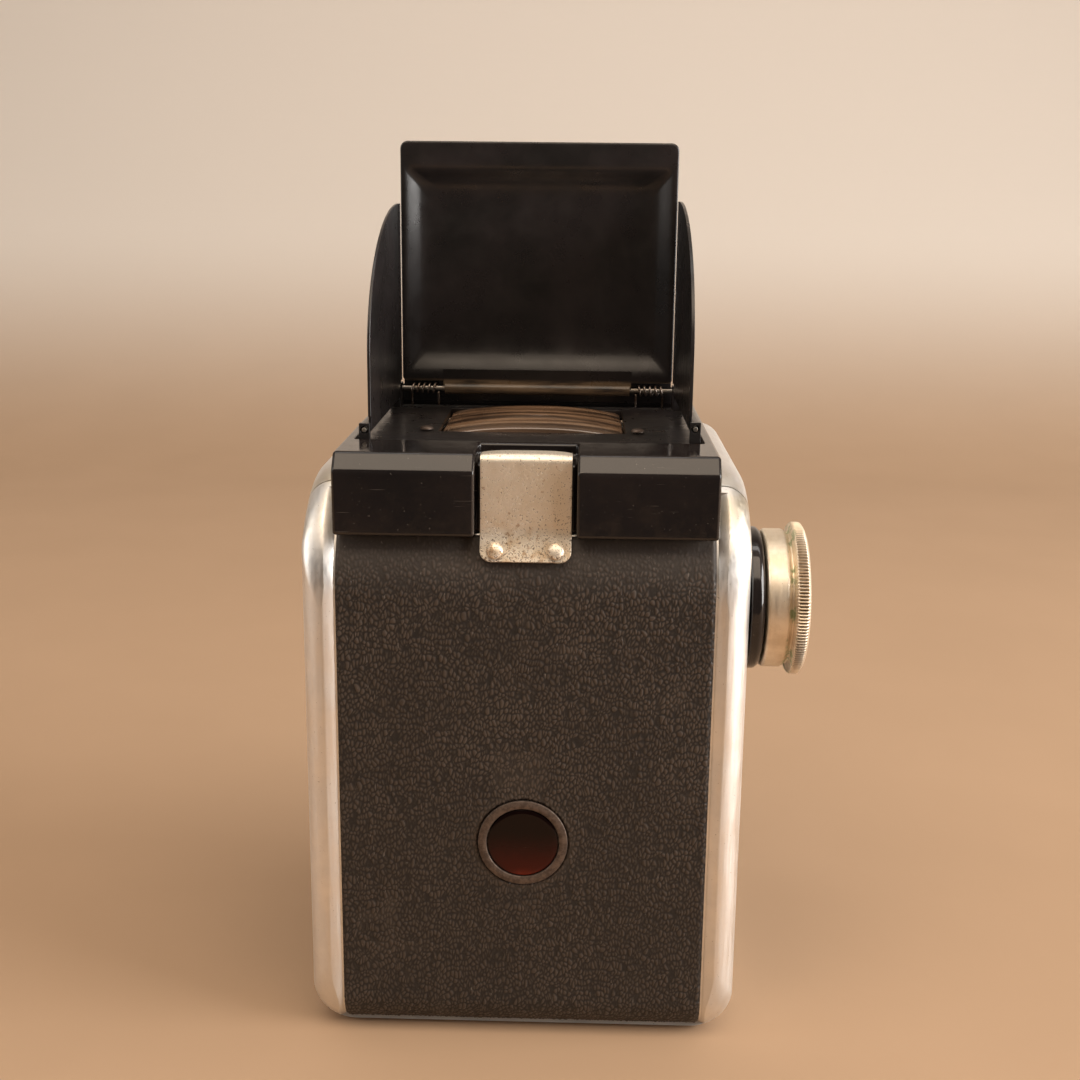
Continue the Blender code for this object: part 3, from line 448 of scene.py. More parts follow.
def brown_ring():
    colours = (0.14, 0.105, 0.085), (0.075, 0.052, 0.04)
    return mottled("brown_ring", 0.6, (1.1, 4, 0.65), (0.35, 0.65), colours, (0.42, 0.62), ((0.3, 3), 0.01))


FINISHES = {
    "satin_alloy": satin_alloy(),
    "leatherette": leatherette(),
    "gloss_black": gloss_black(),
    "black_enamel": black_enamel(),
    "matt_black": matt_black(),
    "nickel": nickel(),
    "steel": steel("steel", (0.50, 0.47, 0.43), (0.33, 0.28, 0.23)),
    "glass": glass(),
    "red_celluloid": red_celluloid(),
    "mirror": mirror(),
    "brown_ring": brown_ring(),
}


# ---- shape helpers


def arc(cx, cy, radius, start, end, steps):
    angles = [math.radians(start + (end - start) * i / steps) for i in range(steps + 1)]
    return [(cx + radius * math.cos(a), cy + radius * math.sin(a)) for a in angles]


def rounded(half_w, low, high, r_low, r_high, steps=12):
    """A rounded rectangle, anticlockwise: half width, low and high sides, radii of its corners."""
    return (
        arc(half_w - r_low, low + r_low, r_low, -90, 0, steps)
        + arc(half_w - r_high, high - r_high, r_high, 0, 90, steps)
        + arc(r_high - half_w, high - r_high, r_high, 90, 180, steps)
        + arc(r_low - half_w, low + r_low, r_low, 180, 270, steps)
    )


def soften(points, radius, steps=4, closed=True):
    """Rounds an outline's corners, each by the radius or as much as its sides allow."""
    result = []
    count = len(points)
    for i, point in enumerate(points):
        here = Vector(point)
        if not closed and i in (0, count - 1):
            result.append(tuple(here))
            continue
        before = Vector(points[i - 1]) - here
        after = Vector(points[(i + 1) % count]) - here
        reach = min(radius, before.length * 0.45, after.length * 0.45)
        start = here + before.normalized() * reach
        end = here + after.normalized() * reach
        for k in range(steps + 1):
            t = k / steps
            place = start * (1 - t) ** 2 + here * 2 * t * (1 - t) + end * t**2
            result.append(tuple(place))
    return result


def linked(name, data):
    """A new object in the scene."""
    obj = bpy.data.objects.new(name, data)
    scene.collection.objects.link(obj)
    return obj


def made(name, bm):
    """An object from a bmesh drawn in millimetres."""
    bmesh.ops.recalc_face_normals(bm, faces=bm.faces)
    bmesh.ops.scale(bm, verts=bm.verts, vec=(MM, MM, MM))
    mesh = bpy.data.meshes.new(name)
    bm.to_mesh(mesh)
    bm.free()
    return linked(name, mesh)


def block(name, low, high):
    bm = bmesh.new()
    bmesh.ops.create_cube(bm, size=1)
    size = Vector(high) - Vector(low)
    bmesh.ops.scale(bm, verts=bm.verts, vec=size)
    bmesh.ops.translate(bm, verts=bm.verts, vec=(Vector(high) + Vector(low)) / 2)
    return made(name, bm)


TURNS = {
    "X": Matrix.Rotation(math.pi / 2, 4, "Y"),
    "Y": Matrix.Rotation(-math.pi / 2, 4, "X"),
    "Z": Matrix.Identity(4),
}


def rod(name, axis, centre, radius, length, sides=48):
    bm = bmesh.new()
    bmesh.ops.create_cone(
        bm, cap_ends=True, segments=sides, radius1=radius, radius2=radius, depth=length
    )
    bmesh.ops.transform(bm, matrix=Matrix.Translation(centre) @ TURNS[axis], verts=bm.verts)
    return made(name, bm)


def prism(name, outline, low, high, plane):
    """A flat outline in the YZ, XZ or XY plane, drawn out between two positions."""
    bm = bmesh.new()
    places = {
        "YZ": lambda u, v, w: (w, u, v),
        "XZ": lambda u, v, w: (u, w, v),
        "XY": lambda u, v, w: (u, v, w),
    }
    place = places[plane]
    first = [bm.verts.new(place(u, v, low)) for u, v in outline]
    second = [bm.verts.new(place(u, v, high)) for u, v in outline]
    bm.faces.new(first)
    bm.faces.new(second)
    for i in range(len(first)):
        k = (i + 1) % len(first)
        bm.faces.new((first[i], first[k], second[k], second[i]))
    return made(name, bm)


def loft(name, rings, caps=True):
    """A skin through rings of 3-D points that all have the same count."""
    bm = bmesh.new()
    rows = [[bm.verts.new(p) for p in ring] for ring in rings]
    count = len(rows[0])
    for a, b in zip(rows, rows[1:]):
        for i in range(count):
            k = (i + 1) % count
            bm.faces.new((a[i], a[k], b[k], b[i]))
    if caps:
        bm.faces.new(rows[0])
        bm.faces.new(rows[-1])
    return made(name, bm)


def lathe(name, profile, axis, centre, steps=96, closed=False, tilt=0.0, ripple=None):
    """A turned piece: a profile of (radius, height), with the height along the axis.

    A ripple takes radius, height and angle, and gives the radius there, as for a knurled rim.
    """
    bm = bmesh.new()
    turn = Matrix.Translation(centre) @ Matrix.Rotation(tilt, 4, "X") @ TURNS[axis]
    between_ridges = bm.verts.layers.float.new("between_ridges")
    columns = []
    poles = {}
    for s in range(steps):
        angle = 2 * math.pi * s / steps
        column = []
        for i, (radius, height) in enumerate(profile):
            if radius < 1e-6:
                if i not in poles:
                    poles[i] = bm.verts.new(turn @ Vector((0, 0, height)))
                column.append(poles[i])
                continue
            r, deep = ripple(radius, height, angle) if ripple else (radius, 0.0)
            vert = bm.verts.new(turn @ Vector((r * math.cos(angle), r * math.sin(angle), height)))
            vert[between_ridges] = deep
            column.append(vert)
        columns.append(column)
    last = len(profile) if closed else len(profile) - 1
    for s in range(steps):
        here, there = columns[s], columns[(s + 1) % steps]
        for i in range(last):
            k = (i + 1) % len(profile)
            corners = []
            for vert in (here[i], here[k], there[k], there[i]):
                if vert not in corners:
                    corners.append(vert)
            if len(corners) > 2:
                bm.faces.new(corners)
    return made(name, bm)


def settle(obj):
    """Applies an object's modifiers."""
    bpy.context.view_layer.update()
    graph = bpy.context.evaluated_depsgraph_get()
    mesh = bpy.data.meshes.new_from_object(obj.evaluated_get(graph))
    obj.modifiers.clear()
    obj.data = mesh
    return obj


def combine(obj, others, operation):
    for other in others:
        mod = obj.modifiers.new(other.name, "BOOLEAN")
        mod.operation = operation
        mod.object = other
        mod.solver = "EXACT"
    settle(obj)
    for other in others:
        bpy.data.objects.remove(other, do_unlink=True)
    return obj


def cut(obj, *others):
    return combine(obj, others, "DIFFERENCE")


def join(obj, *others):
    return combine(obj, others, "UNION")


def merge(name, parts):
    """One object with the shells of several."""
    bm = bmesh.new()
    for part in parts:
        bm.from_mesh(part.data)
        bpy.data.objects.remove(part, do_unlink=True)
    mesh = bpy.data.meshes.new(name)
    bm.to_mesh(mesh)
    bm.free()
    return linked(name, mesh)


def soft_edges(obj, width, segments=3, angle=35):
    mod = obj.modifiers.new("soft_edges", "BEVEL")
    mod.width = width * MM
    mod.segments = segments
    mod.limit_method = "ANGLE"
    mod.angle_limit = math.radians(angle)
    mod.miter_outer = "MITER_ARC"
    mod.use_clamp_overlap = True
    return settle(obj)


def smooth(obj, angle=32):
    obj.data.shade_smooth()
    obj.data.set_sharp_from_angle(angle=math.radians(angle))
    mod = obj.modifiers.new("even_normals", "WEIGHTED_NORMAL")
    mod.keep_sharp = True
    return obj


def dress(obj, *nodes, finish=None, angle=32):
    """The piece stands for these nodes, and takes the body and the finish of the first one."""
    first = nodes[0]
    obj.data.materials.clear()
    obj.data.materials.append(finish or FINISHES[SLOTS[first]])
    if obj.type == "MESH":
        smooth(obj, angle)
    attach(obj, BODIES[first])
    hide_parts(*nodes)
    return obj


def polish(node, width=0.0, finish=None):
    """A node that stays gets its material, and its edges are rounded."""
    obj = frame["nodes"][node]
    for material_slot in obj.material_slots:
        material_slot.material = finish or FINISHES[SLOTS[node]]
    if not obj.material_slots:
        obj.data.materials.append(finish or FINISHES[SLOTS[node]])
    weld = obj.modifiers.new("weld", "WELD")
    weld.merge_threshold = 0.00001
    if width:
        mod = obj.modifiers.new("soft_edges", "BEVEL")
        mod.width = width * MM
        mod.segments = 2
        mod.limit_method = "ANGLE"
        mod.angle_limit = math.radians(40)
    mod = obj.modifiers.new("even_normals", "WEIGHTED_NORMAL")
    mod.keep_sharp = True
    return obj


# ---- casing


def rise(distance, radius):
    """How far a rounded edge has come up, a distance in from its start."""
    if distance >= radius:
        return radius
    return math.sqrt(max(0, radius**2 - (radius - distance) ** 2))


def casing_ring(y, inset, ceiling):
    """The casing's outline at one depth, inset by a wall: rounded on every edge."""
    from_back = max(0, y - (BACK + inset))
    from_front = max(0, FRONT - inset - y)
    side_r = max(0.6, SIDE_ARC - inset)
    front_r = max(0.6, FRONT_ARC - inset)
    back_r = BACK_ARC - inset
    base_r = BASE_ARC - inset
    side = min(rise(from_back, side_r), rise(from_front, side_r)) - side_r
    top = min(rise(from_back, back_r) - back_r, rise(from_front, front_r) - front_r)
    base = min(rise(from_back, base_r) - base_r, rise(from_front, front_r) - front_r)
    half = HALF_WIDTH - inset + side
    high = min(TOP - inset + top, ceiling)
    low = inset - base
    outline = rounded(half, low, high, BASE_ARC - inset / 2, SHOULDER - inset / 2)
    return [(x, y, z) for x, z in outline]


def casing(name, start, end, inset=0.0, ceiling=1000.0):
    """A length of the casing as a solid, from one depth to another."""
    stops = {start, end}
    for radius in (SIDE_ARC - inset, BACK_ARC - inset, BASE_ARC - inset):
        for i in range(1, 25):
            stops.add(BACK + inset + radius * (1 - math.cos(math.radians(i * 3.75))))
    for i in range(1, 13):
        stops.add(FRONT - inset - (FRONT_ARC - inset) * (1 - math.cos(math.radians(7.5 * i))))
    inside = sorted(y for y in stops if start <= y <= end)
    chosen = [inside[0]]
    for y in inside[1:-1]:
        near = 0.02 if y - BACK < 1.2 else 0.12
        if y - chosen[-1] > near and end - y > 0.12:
            chosen.append(y)
    chosen.append(end)
    return loft(name, [casing_ring(y, inset, ceiling) for y in chosen])


BEND_CENTRE = (BACK + BACK_ARC, TOP - BACK_ARC)
BASE_CENTRE = (BACK + BASE_ARC, BASE_ARC)


def back_stations(foot, last, pitch):
    """Distances up the back's side outline, evenly spaced, with the runs of its curve and its straight.

    They start on the lower edge's curve at the foot's angle, and end on the large curve.
    """
    base_run = BASE_ARC * math.radians(foot - 180)
    rise_run = BEND_CENTRE[1] - BASE_CENTRE[1]
    bend_run = BACK_ARC * math.radians(180 - last)
    total = base_run + rise_run + bend_run
    count = math.ceil(total / pitch)
    return [total * i / count for i in range(count + 1)], base_run, rise_run


def back_point(distance, base_run, rise_run, depth):
    """The (y, z) at a distance up the back's outline, set in by a depth. Works on arrays."""
    distance = np.asarray(distance, float)
    base_angle = math.pi + (base_run - np.minimum(distance, base_run)) / BASE_ARC
    bend_angle = math.pi - np.maximum(distance - base_run - rise_run, 0) / BACK_ARC
    straight = np.clip(distance - base_run, 0, rise_run)
    in_base = distance <= base_run
    in_bend = distance >= base_run + rise_run
    angle = np.where(in_base, base_angle, np.where(in_bend, bend_angle, math.pi))
    radius = np.where(in_base, BASE_ARC, BACK_ARC) - depth
    centre_y = np.where(in_base, BASE_CENTRE[0], BEND_CENTRE[0])
    centre_z = np.where(in_base, BASE_CENTRE[1], BASE_CENTRE[1] + straight)
    return centre_y + radius * np.cos(angle), centre_z + radius * np.sin(angle)


def trim_recess():
    """What is cut from the door for its leatherette: flared, so the trims roll over at their edge."""
    flank = [(0.0, 1.0), (0.05, 0.92), (0.35, 0.74), (1.0, 0.44), (1.7, 0.17), (CROWN, 0.03), (2.9, -0.3)]
    half = PANEL_HALF + GAP
    right = [(half + out, depth) for out, depth in flank] + [(half + 3.2, -3.0)]
    section = right + [(-x, depth) for x, depth in reversed(right)]
    stations, base_run, rise_run = back_stations(PANEL_FOOT + 3, 122, 1.5)
    rings = []
    for distance in stations:
        ring = []
        for x, depth in section:
            y, z = back_point(distance, base_run, rise_run, depth)
            ring.append((x, float(y), float(z)))
        rings.append(ring)
    return loft("trim_recess", rings)


def make_door():
    door = casing("door_casing", BACK, SEAM - SEAM_HALF)
    knuckle_room = rod("knuckle_room", "X", HINGE, SWEEP_R, 2 * BODY_KNUCKLE + 0.8)
    ear_low = (-PANEL_HALF - GAP, -BEYOND, PANEL_TOP)
    cut(
        door,
        casing("door_hollow", BACK + WALL, SEAM, WALL, PANEL_TOP - WALL),
        block("ear_room", ear_low, (PANEL_HALF + GAP, -20, ABOVE)),
        trim_recess(),
        rod("window_hole", "Y", (0, BACK, WINDOW.z), WINDOW_HOLE_R, 12),
        knuckle_room,
    )
    length = DOOR_KNUCKLE - BODY_KNUCKLE - KNUCKLE_GAP
    barrels = []
    for side in (-1, 1):
        centre = (side * (BODY_KNUCKLE + KNUCKLE_GAP + length / 2), HINGE.y, HINGE.z)
        barrels.append(rod("door_knuckle", "X", centre, KNUCKLE_R, length))
    join(door, *barrels)
    cut(door, rod("door_bore", "X", HINGE, PIN_BORE_R, 60))
    dress(door, "back_door", angle=25)


def make_body():
    body = casing("body_casing", SEAM + SEAM_HALF, FRONT)
    for node, side in (("side_leatherette_left", -1), ("side_leatherette_right", 1)):
        low, high = span(node)
        near = HALF_WIDTH - SIDE_RECESS
        corner = (min(side * near, side * BEYOND), low.y - GAP, low.z - GAP)
        other = (max(side * near, side * BEYOND), high.y + GAP, high.z + GAP)
        cut(body, block("side_recess", corner, other))
    cut(body, casing("body_hollow", SEAM - 1, FRONT - WALL, WALL, TOP - WALL))
    cut(body, block("hood_well", WELL_LOW, WELL_HIGH))
    cut(body, rod("taking_hole", "Y", (0, FRONT, LENS.z), TAKING_HOLE_R, 12))
    cut(body, rod("viewing_hole", "Y", (0, FRONT, VIEW.z), VIEW_HOLE_R, 12))
    cut(body, rod("shaft_hole", "X", (HALF_WIDTH, SPOOL.y, SPOOL.z), SHAFT_HOLE_R, 12))
    cut(body, rod("tripod_hole", "Z", (0, TRIPOD_Y, 0), TRIPOD_HOLE_R, 12))
    length = HALF_WIDTH - BODY_KNUCKLE
    for side in (-1, 1):
        middle = side * (BODY_KNUCKLE + length / 2 + 0.2)
        cut(body, rod("hinge_room", "X", (middle, HINGE.y, HINGE.z), SWEEP_R, length))
    join(body, rod("knuckle", "X", HINGE, KNUCKLE_R, 2 * BODY_KNUCKLE))
    cut(body, rod("pin_bore", "X", HINGE, PIN_BORE_R, 60))
    dress(body, "body_shell", angle=25)


# ---- leatherette


def smoothstep(low, high, value):
    t = np.clip((value - low) / (high - low), 0, 1)
    return t * t * (3 - 2 * t)


def pebbles(u, v, wide, tall, seed):
    """Heights from 0 to 1 of a pebbled grain at surface distances u and v: uneven domes."""
    table = np.random.default_rng(seed).random((256, 256, 3))
    bent_u = u + 1.1 * wide * swell(u, v, 2.6 * wide, seed + 100)
    bent_v = v + 0.8 * tall * swell(u, v, 2.2 * wide, seed + 200)
    across, along = bent_u / wide, bent_v / tall
    cell_u, cell_v = np.floor(across).astype(int), np.floor(along).astype(int)
    nearest = np.full(u.shape, 9.0)
    second = np.full(u.shape, 9.0)
    level = np.zeros(u.shape)
    for du in (-1, 0, 1):
        for dv in (-1, 0, 1):
            random = table[(cell_u + du) % 256, (cell_v + dv) % 256]
            away_u = across - (cell_u + du) - 0.5 - 0.95 * (random[..., 0] - 0.5)
            away_v = along - (cell_v + dv) - 0.5 - 0.95 * (random[..., 1] - 0.5)
            away = np.hypot(away_u, away_v)
            closer = away < nearest
            second = np.where(closer, nearest, np.minimum(second, away))
            level = np.where(closer, random[..., 2], level)
            nearest = np.where(closer, away, nearest)
    return smoothstep(0.0, 0.75, second - nearest) * (0.6 + 0.4 * level)


def swell(u, v, size, seed):
    """A slow unevenness from 0 to 1: blended random values on a square lattice."""
    table = np.random.default_rng(seed).random((256, 256))
    across, along = u / size, v / size
    cell_u, cell_v = np.floor(across).astype(int), np.floor(along).astype(int)
    fu, fv = smoothstep(0, 1, across - cell_u), smoothstep(0, 1, along - cell_v)
    value = lambda a, b: table[(cell_u + a) % 256, (cell_v + b) % 256]
    low = value(0, 0) * (1 - fu) + value(1, 0) * fu
    high = value(0, 1) * (1 - fu) + value(1, 1) * fu
    return low * (1 - fv) + high * fv


def sheet_mesh(name, points, grain, wear_and_sheen, under=None, hole=None):
    """A grid of points with its heights as attributes.

    Where under is given, as points down the two sides, the sheet is closed below. A hole leaves
    its faces out.
    """
    rows, columns = points.shape[:2]
    verts = points.reshape(-1, 3) * MM
    index = np.arange(rows * columns).reshape(rows, columns)
    quads = np.stack([index[:-1, :-1], index[:-1, 1:], index[1:, 1:], index[1:, :-1]], -1).reshape(-1, 4)
    if hole is not None:
        keep = ~hole[:-1, :-1].reshape(-1)
        quads = quads[keep]
    faces = quads.tolist()
    if under is not None:
        start = rows * columns
        verts = np.concatenate([verts, under.reshape(-1, 3) * MM])
        left = [start + 2 * i for i in range(rows)]
        right = [start + 2 * i + 1 for i in range(rows)]
        for i in range(rows - 1):
            faces.append([left[i], left[i + 1], right[i + 1], right[i]])
            faces.append([index[i, 0], index[i + 1, 0], left[i + 1], left[i]])
            faces.append([index[i + 1, -1], index[i, -1], right[i], right[i + 1]])
        faces.append([right[0], *index[0, ::-1].tolist(), left[0]])
        faces.append([left[-1], *index[-1].tolist(), right[-1]])
    mesh = bpy.data.meshes.new(name)
    mesh.from_pydata(verts.tolist(), [], faces)
    extra = len(verts) - rows * columns
    for key, values in (("grain", grain), ("wear_and_sheen", wear_and_sheen)):
        layer = mesh.attributes.new(key, "FLOAT", "POINT")
        padded = np.concatenate([values.reshape(-1), np.zeros(extra)])
        layer.data.foreach_set("value", padded.astype(np.float32))
    bm = bmesh.new()
    bm.from_mesh(mesh)
    bmesh.ops.recalc_face_normals(bm, faces=bm.faces)
    bm.to_mesh(mesh)
    bm.free()
    return linked(name, mesh)


GRAIN_HIGH = 0.24  # from the grooves of the leatherette to its highest crests


def make_back_leather():
    """The pebbled sheet on the door, smoother where it turns over the top."""
    half = PANEL_HALF - 0.05
    end_angle = 180 - math.degrees(math.asin((PANEL_TOP - 0.1 - BEND_CENTRE[1]) / (BACK_ARC - LEATHER_SET)))
    stations, base_run, rise_run = back_stations(PANEL_FOOT, end_angle, 0.17)
    stations = np.array(stations)
    across = np.linspace(-half, half, int(2 * half / 0.17))
    u, v = np.meshgrid(across, stations)
    pitch = swell(u, v, 9, 5)
    grain = pebbles(u + 0.5 * swell(u, v, 4, 6), v, 0.62, 1.18, 3)
    height = back_point(v, base_run, rise_run, 0)[1]
    calm = 1 - 0.62 * smoothstep(86, 97, height) - 0.2 * pitch
    fine = pebbles(u, v, 0.42, 0.56, 8)
    mark_u, mark_z = u + 0.6, height - 54.5
    box_u, box_z = 4.9, 3.6
    inside = smoothstep(0.9, -0.6, np.maximum(np.abs(mark_u) - box_u, np.abs(mark_z) - box_z))
    border = np.minimum(half - np.abs(u), np.minimum(v, stations[-1] - v))
    roll = 0.3 * smoothstep(0.9, 0, border) ** 2
    ring_away = np.hypot(u, height - WINDOW.z)
    bed = smoothstep(8.75, 8.35, ring_away)
    ring_ridge = smoothstep(10.4, 8.9, ring_away) * (1 - bed)
    lift = GRAIN_HIGH * calm * (0.82 * grain + 0.18 * fine) * (1 - 0.30 * inside)
    depth = LEATHER_SET - lift - 0.05 * pitch + roll + 0.33 * bed
    y, z = back_point(v, base_run, rise_run, depth)
    points = np.stack([u, y, z], -1)
    sides = np.array([-half, half])
    low_u, low_v = np.meshgrid(sides, stations)
    low_y, low_z = back_point(low_v, base_run, rise_run, 0.97)
    under = np.stack([low_u, low_y, low_z], -1)
    # lighter up the top curve, partly worn and partly a painted sheen; the mark, the ring's ridge and the
    # patches are worn
    rub = smoothstep(86, 98, height) * 0.75 + 0.18 * inside + 0.35 * ring_ridge
    patches = smoothstep(0.55, 0.95, swell(u, v, 3.1, 12)) * smoothstep(0.5, 0.9, swell(u, v, 13, 14))
    rub = rub + 0.35 * patches
    sheet = sheet_mesh("leather_back", points, grain * calm, np.clip(rub, 0, 1), under)
    dress(sheet, "back_leatherette", angle=60)


def flat_leather(name, node, place, half_u, half_v, corner, seed, hole=None, pitch=0.28):
    """A flat pebbled panel. The place function puts surface distances and a height in the frame."""
    rows = int(2 * half_v / pitch)
    columns = int(2 * half_u / pitch)
    v = np.linspace(-half_v, half_v, rows)[:, None] * np.ones((1, columns))
    from_end = half_v - np.abs(v)
    bow = corner - np.sqrt(np.maximum(corner**2 - (corner - from_end) ** 2, 0))
    pull = np.where(from_end < corner, bow, 0)
    u = np.linspace(-1, 1, columns)[None, :] * (half_u - pull)
    grain = pebbles(u + 0.5 * swell(u, v, 4, seed), v, 0.7, 1.25, seed + 1)
    border = np.minimum(half_u - pull - np.abs(u), from_end)
    calm = 1 - 0.25 * swell(u, v, 9, seed + 2)
    lift = GRAIN_HIGH * calm * grain - 0.25 * smoothstep(0.8, 0, border) ** 2
    points = np.stack(place(u, v, lift), -1)
    ends = u[:, [0, -1]]
    under = np.stack(place(ends, v[:, :2], np.full(ends.shape, -0.45)), -1)
    gone = hole(u, v) if hole else None
    rub = smoothstep(0.55, 0.95, swell(u, v, 3.1, seed + 3)) * 0.3
    sheet = sheet_mesh(name, points, grain * calm, rub, None if hole else under, gone)
    return dress(sheet, node, angle=60)


def make_side_leather():
    for node, side, seed in (("side_leatherette_left", -1, 31), ("side_leatherette_right", 1, 41)):
        low, high, middle, half = measured(node)
        face = side * (HALF_WIDTH - 0.3)
        boss = lambda u, v, m=middle: np.hypot(u + m.y - SPOOL.y, v + m.z - SPOOL.z) < 13.0
        place = lambda u, v, w, s=side, f=face, m=middle: (f + s * w, u + m.y, v + m.z)
        hole = boss if side > 0 else None
        flat_leather(f"leather_{node[17:]}", node, place, half.y, half.z, 0.8, seed, hole)


def make_front():
    low, high, middle, half = measured("front_plate")
    board = prism("front_board", rounded(half.x, low.z, high.z, 5, 8), low.y, high.y - 0.35, "XZ")
    cut(
        board,
        rod("plate_taking_hole", "Y", (0, FRONT, LENS.z), 10, 12),
        rod("plate_viewing_hole", "Y", (0, FRONT, VIEW.z), 10.5, 12),
    )
    board.data.materials.append(FINISHES["black_enamel"])
    smooth(board)
    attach(board, BODIES["front_plate"])
    place = lambda u, v, w: (u + middle.x, high.y - 0.15 + w, v + middle.z)
    hole = lambda u, v: np.minimum(
        np.hypot(u, v + middle.z - LENS.z) - 9.9, np.hypot(u, v + middle.z - VIEW.z) - 10.4
    ) < 0
    flat_leather("leather_front", "front_plate", place, half.x - 0.4, half.z - 0.4, 6.5, 51, hole)


# ---- top cover


def make_cover():
    """The glossy top moulding with its two ears, the notch between them and the hood's room."""
    under_ears = cover_low.z
    rear = [(SEAM - 0.25, under_ears), (COVER_BACK, under_ears)]
    slope = [(COVER_BACK, COVER_TOP - EAR_SLOPE_HIGH), (COVER_BACK + EAR_SLOPE_DEEP, COVER_TOP)]
    front = arc(COVER_FRONT - COVER_ARC, COVER_TOP - COVER_ARC, COVER_ARC, 90, 0, 8)
    bottom = [(COVER_FRONT, TOP + GAP), (SEAM - 0.25, TOP + GAP)]
    cover = prism("top_moulding", rear + slope + front + bottom, -PANEL_HALF, PANEL_HALF, "YZ")
    cut(
        cover,
        block("notch", (-NOTCH_HALF, -BEYOND, 90), (NOTCH_HALF, -36, ABOVE)),
        block("step", (-NOTCH_HALF, -37, 110.9), (NOTCH_HALF, -27, ABOVE)),
        block("hood_room", ROOM_LOW, ROOM_HIGH),
    )
    soft_edges(cover, 0.8, 5, 30)
    dress(cover, "top_cover", angle=30)


def make_catch():
    low, high = span("latch_catch")
    nose = [(high.x, high.y - 3), (4, high.y), (-4, high.y), (low.x, high.y - 3)]
    outline = soften([(low.x, low.y), (high.x, low.y), *nose], 1.0)
    catch = prism("catch_tab", outline, low.z, high.z, "XY")
    cut(catch, *[rod("catch_hole", "Z", (x, -31.5, low.z), 0.75, 6, 24) for x in (-2.2, 2.2)])
    soft_edges(catch, 0.12, 2)
    dress(catch, "latch_catch", finish=FINISHES["black_enamel"])


# ---- latch clip


LATCH_HALF = span("latch_clip")[1].x
LATCH_FOOT = span("latch_clip")[0].z
LATCH_TOP = span("latch_clip")[1].z
CLIP_SHEET = 0.8
FOOT_ROUND = 2.0


def back_height(depth, z):
    """The back's y at one height on the large curve."""
    lift = max(0, z - BEND_CENTRE[1])
    return BEND_CENTRE[0] - math.sqrt((BACK_ARC - depth) ** 2 - lift**2)


def make_clip():
    """The sprung clip: a bent sheet with a rounded foot, an upright face and an arched lip."""
    foot_y = back_height(0, LATCH_FOOT) - GAP - CLIP_SHEET
    face_y = -37.2 - CLIP_SHEET
    path = [
        (foot_y + 0.05, LATCH_FOOT + 0.1),
        (back_height(0, 96.4) - GAP - CLIP_SHEET, 96.4),
        (face_y, 98.9),
        (face_y, LATCH_TOP - 0.95),
        (face_y + 1.0, LATCH_TOP - 0.02),
        (-33.7, LATCH_TOP - 0.02),
    ]
    curved = soften(path, 1.6, 6, closed=False)
    run = [0.0]
    for a, b in zip(curved, curved[1:]):
        run.append(run[-1] + math.dist(a, b))
    total = run[-1]
    fine = np.concatenate([np.linspace(0, FOOT_ROUND, 14), np.linspace(FOOT_ROUND, total, 60)[1:]])
    ys = np.interp(fine, run, [p[0] for p in curved])
    zs = np.interp(fine, run, [p[1] for p in curved])
    columns = 41
    bm = bmesh.new()
    rows = []
    for distance, y, z in zip(fine, ys, zs):
        inset = 0.0
        if distance < FOOT_ROUND:
            inset = FOOT_ROUND - math.sqrt(FOOT_ROUND**2 - (FOOT_ROUND - distance) ** 2)
        lip = max(0.0, min(1.0, (y - face_y - 0.4) / 1.6))
        row = []
        for c in range(columns):
            share = 2 * c / (columns - 1) - 1
            x = share * (LATCH_HALF - inset)
            droop = -0.42 * lip * share**4
            row.append(bm.verts.new((x, y, z + droop)))
        rows.append(row)
    for a, b in zip(rows, rows[1:]):
        for c in range(columns - 1):
            bm.faces.new((a[c], a[c + 1], b[c + 1], b[c]))
    clip = made("clip", bm)
    outward = clip.data.polygons[0].normal.y < 0
    sheet = clip.modifiers.new("sheet", "SOLIDIFY")
    sheet.thickness = (CLIP_SHEET - 0.02) * MM
    sheet.offset = -1 if outward else 1
    settle(clip)
    soft_edges(clip, 0.16, 3, 50)
    dress(clip, "latch_clip", angle=40)


def make_rivets():
    for node in ("latch_rivet_left", "latch_rivet_right"):
        middle = centre_of(node)
        face_y = back_height(0, 96) - 2 * GAP - CLIP_SHEET - 0.15
        dome = [(0, 0.1), (1.5, 0.1), (1.5, -0.12)]
        dome += [(1.5 * math.cos(a), -0.12 - 0.72 * math.sin(a)) for a in np.linspace(0.15, 1.45, 9)]
        dome += [(0, -0.85)]
        head = lathe(f"{node}_head", dome, "Y", (middle.x, face_y, 96), 40, tilt=-math.radians(24))
        dress(head, node, angle=50)


# ---- window


def make_window():
    centre = (0, BACK, WINDOW.z)
    ring = soften([(6.75, 0.72), (8.3, 0.72), (8.3, 0.18), (7.4, 0.06), (6.75, 0.16)], 0.16, 3)
    dress(lathe("window_ring", ring, "Y", centre, 96, True), "red_window_ring", angle=50)
    disc = [(0, 0.72), (6.5, 0.72), (6.5, 0.42), (6.3, 0.28), (5.6, 0.2), (4, 0.16), (0, 0.14)]
    dress(lathe("window_disc", disc, "Y", centre, 96), "red_window", angle=50)


# ---- knob


KNURLS = 144
RIM = (5.35, 7.35)  # the knurled band, as heights above the knob's inner face


def knurl(radius, height, angle):
    """The rim's straight ridges: flat crests and narrow grooves, fading out at both ends."""
    low, high = RIM
    if not low <= height <= high or radius < 13.4:
        return radius, 0.0
    wave = 0.5 + 0.5 * math.cos(KNURLS * angle)
    groove = (1 - wave) ** 1.3
    ends = min(1.0, (height - low) / 0.25, (high - height) / 0.25)
    return radius - 0.42 * groove * ends, groove * ends


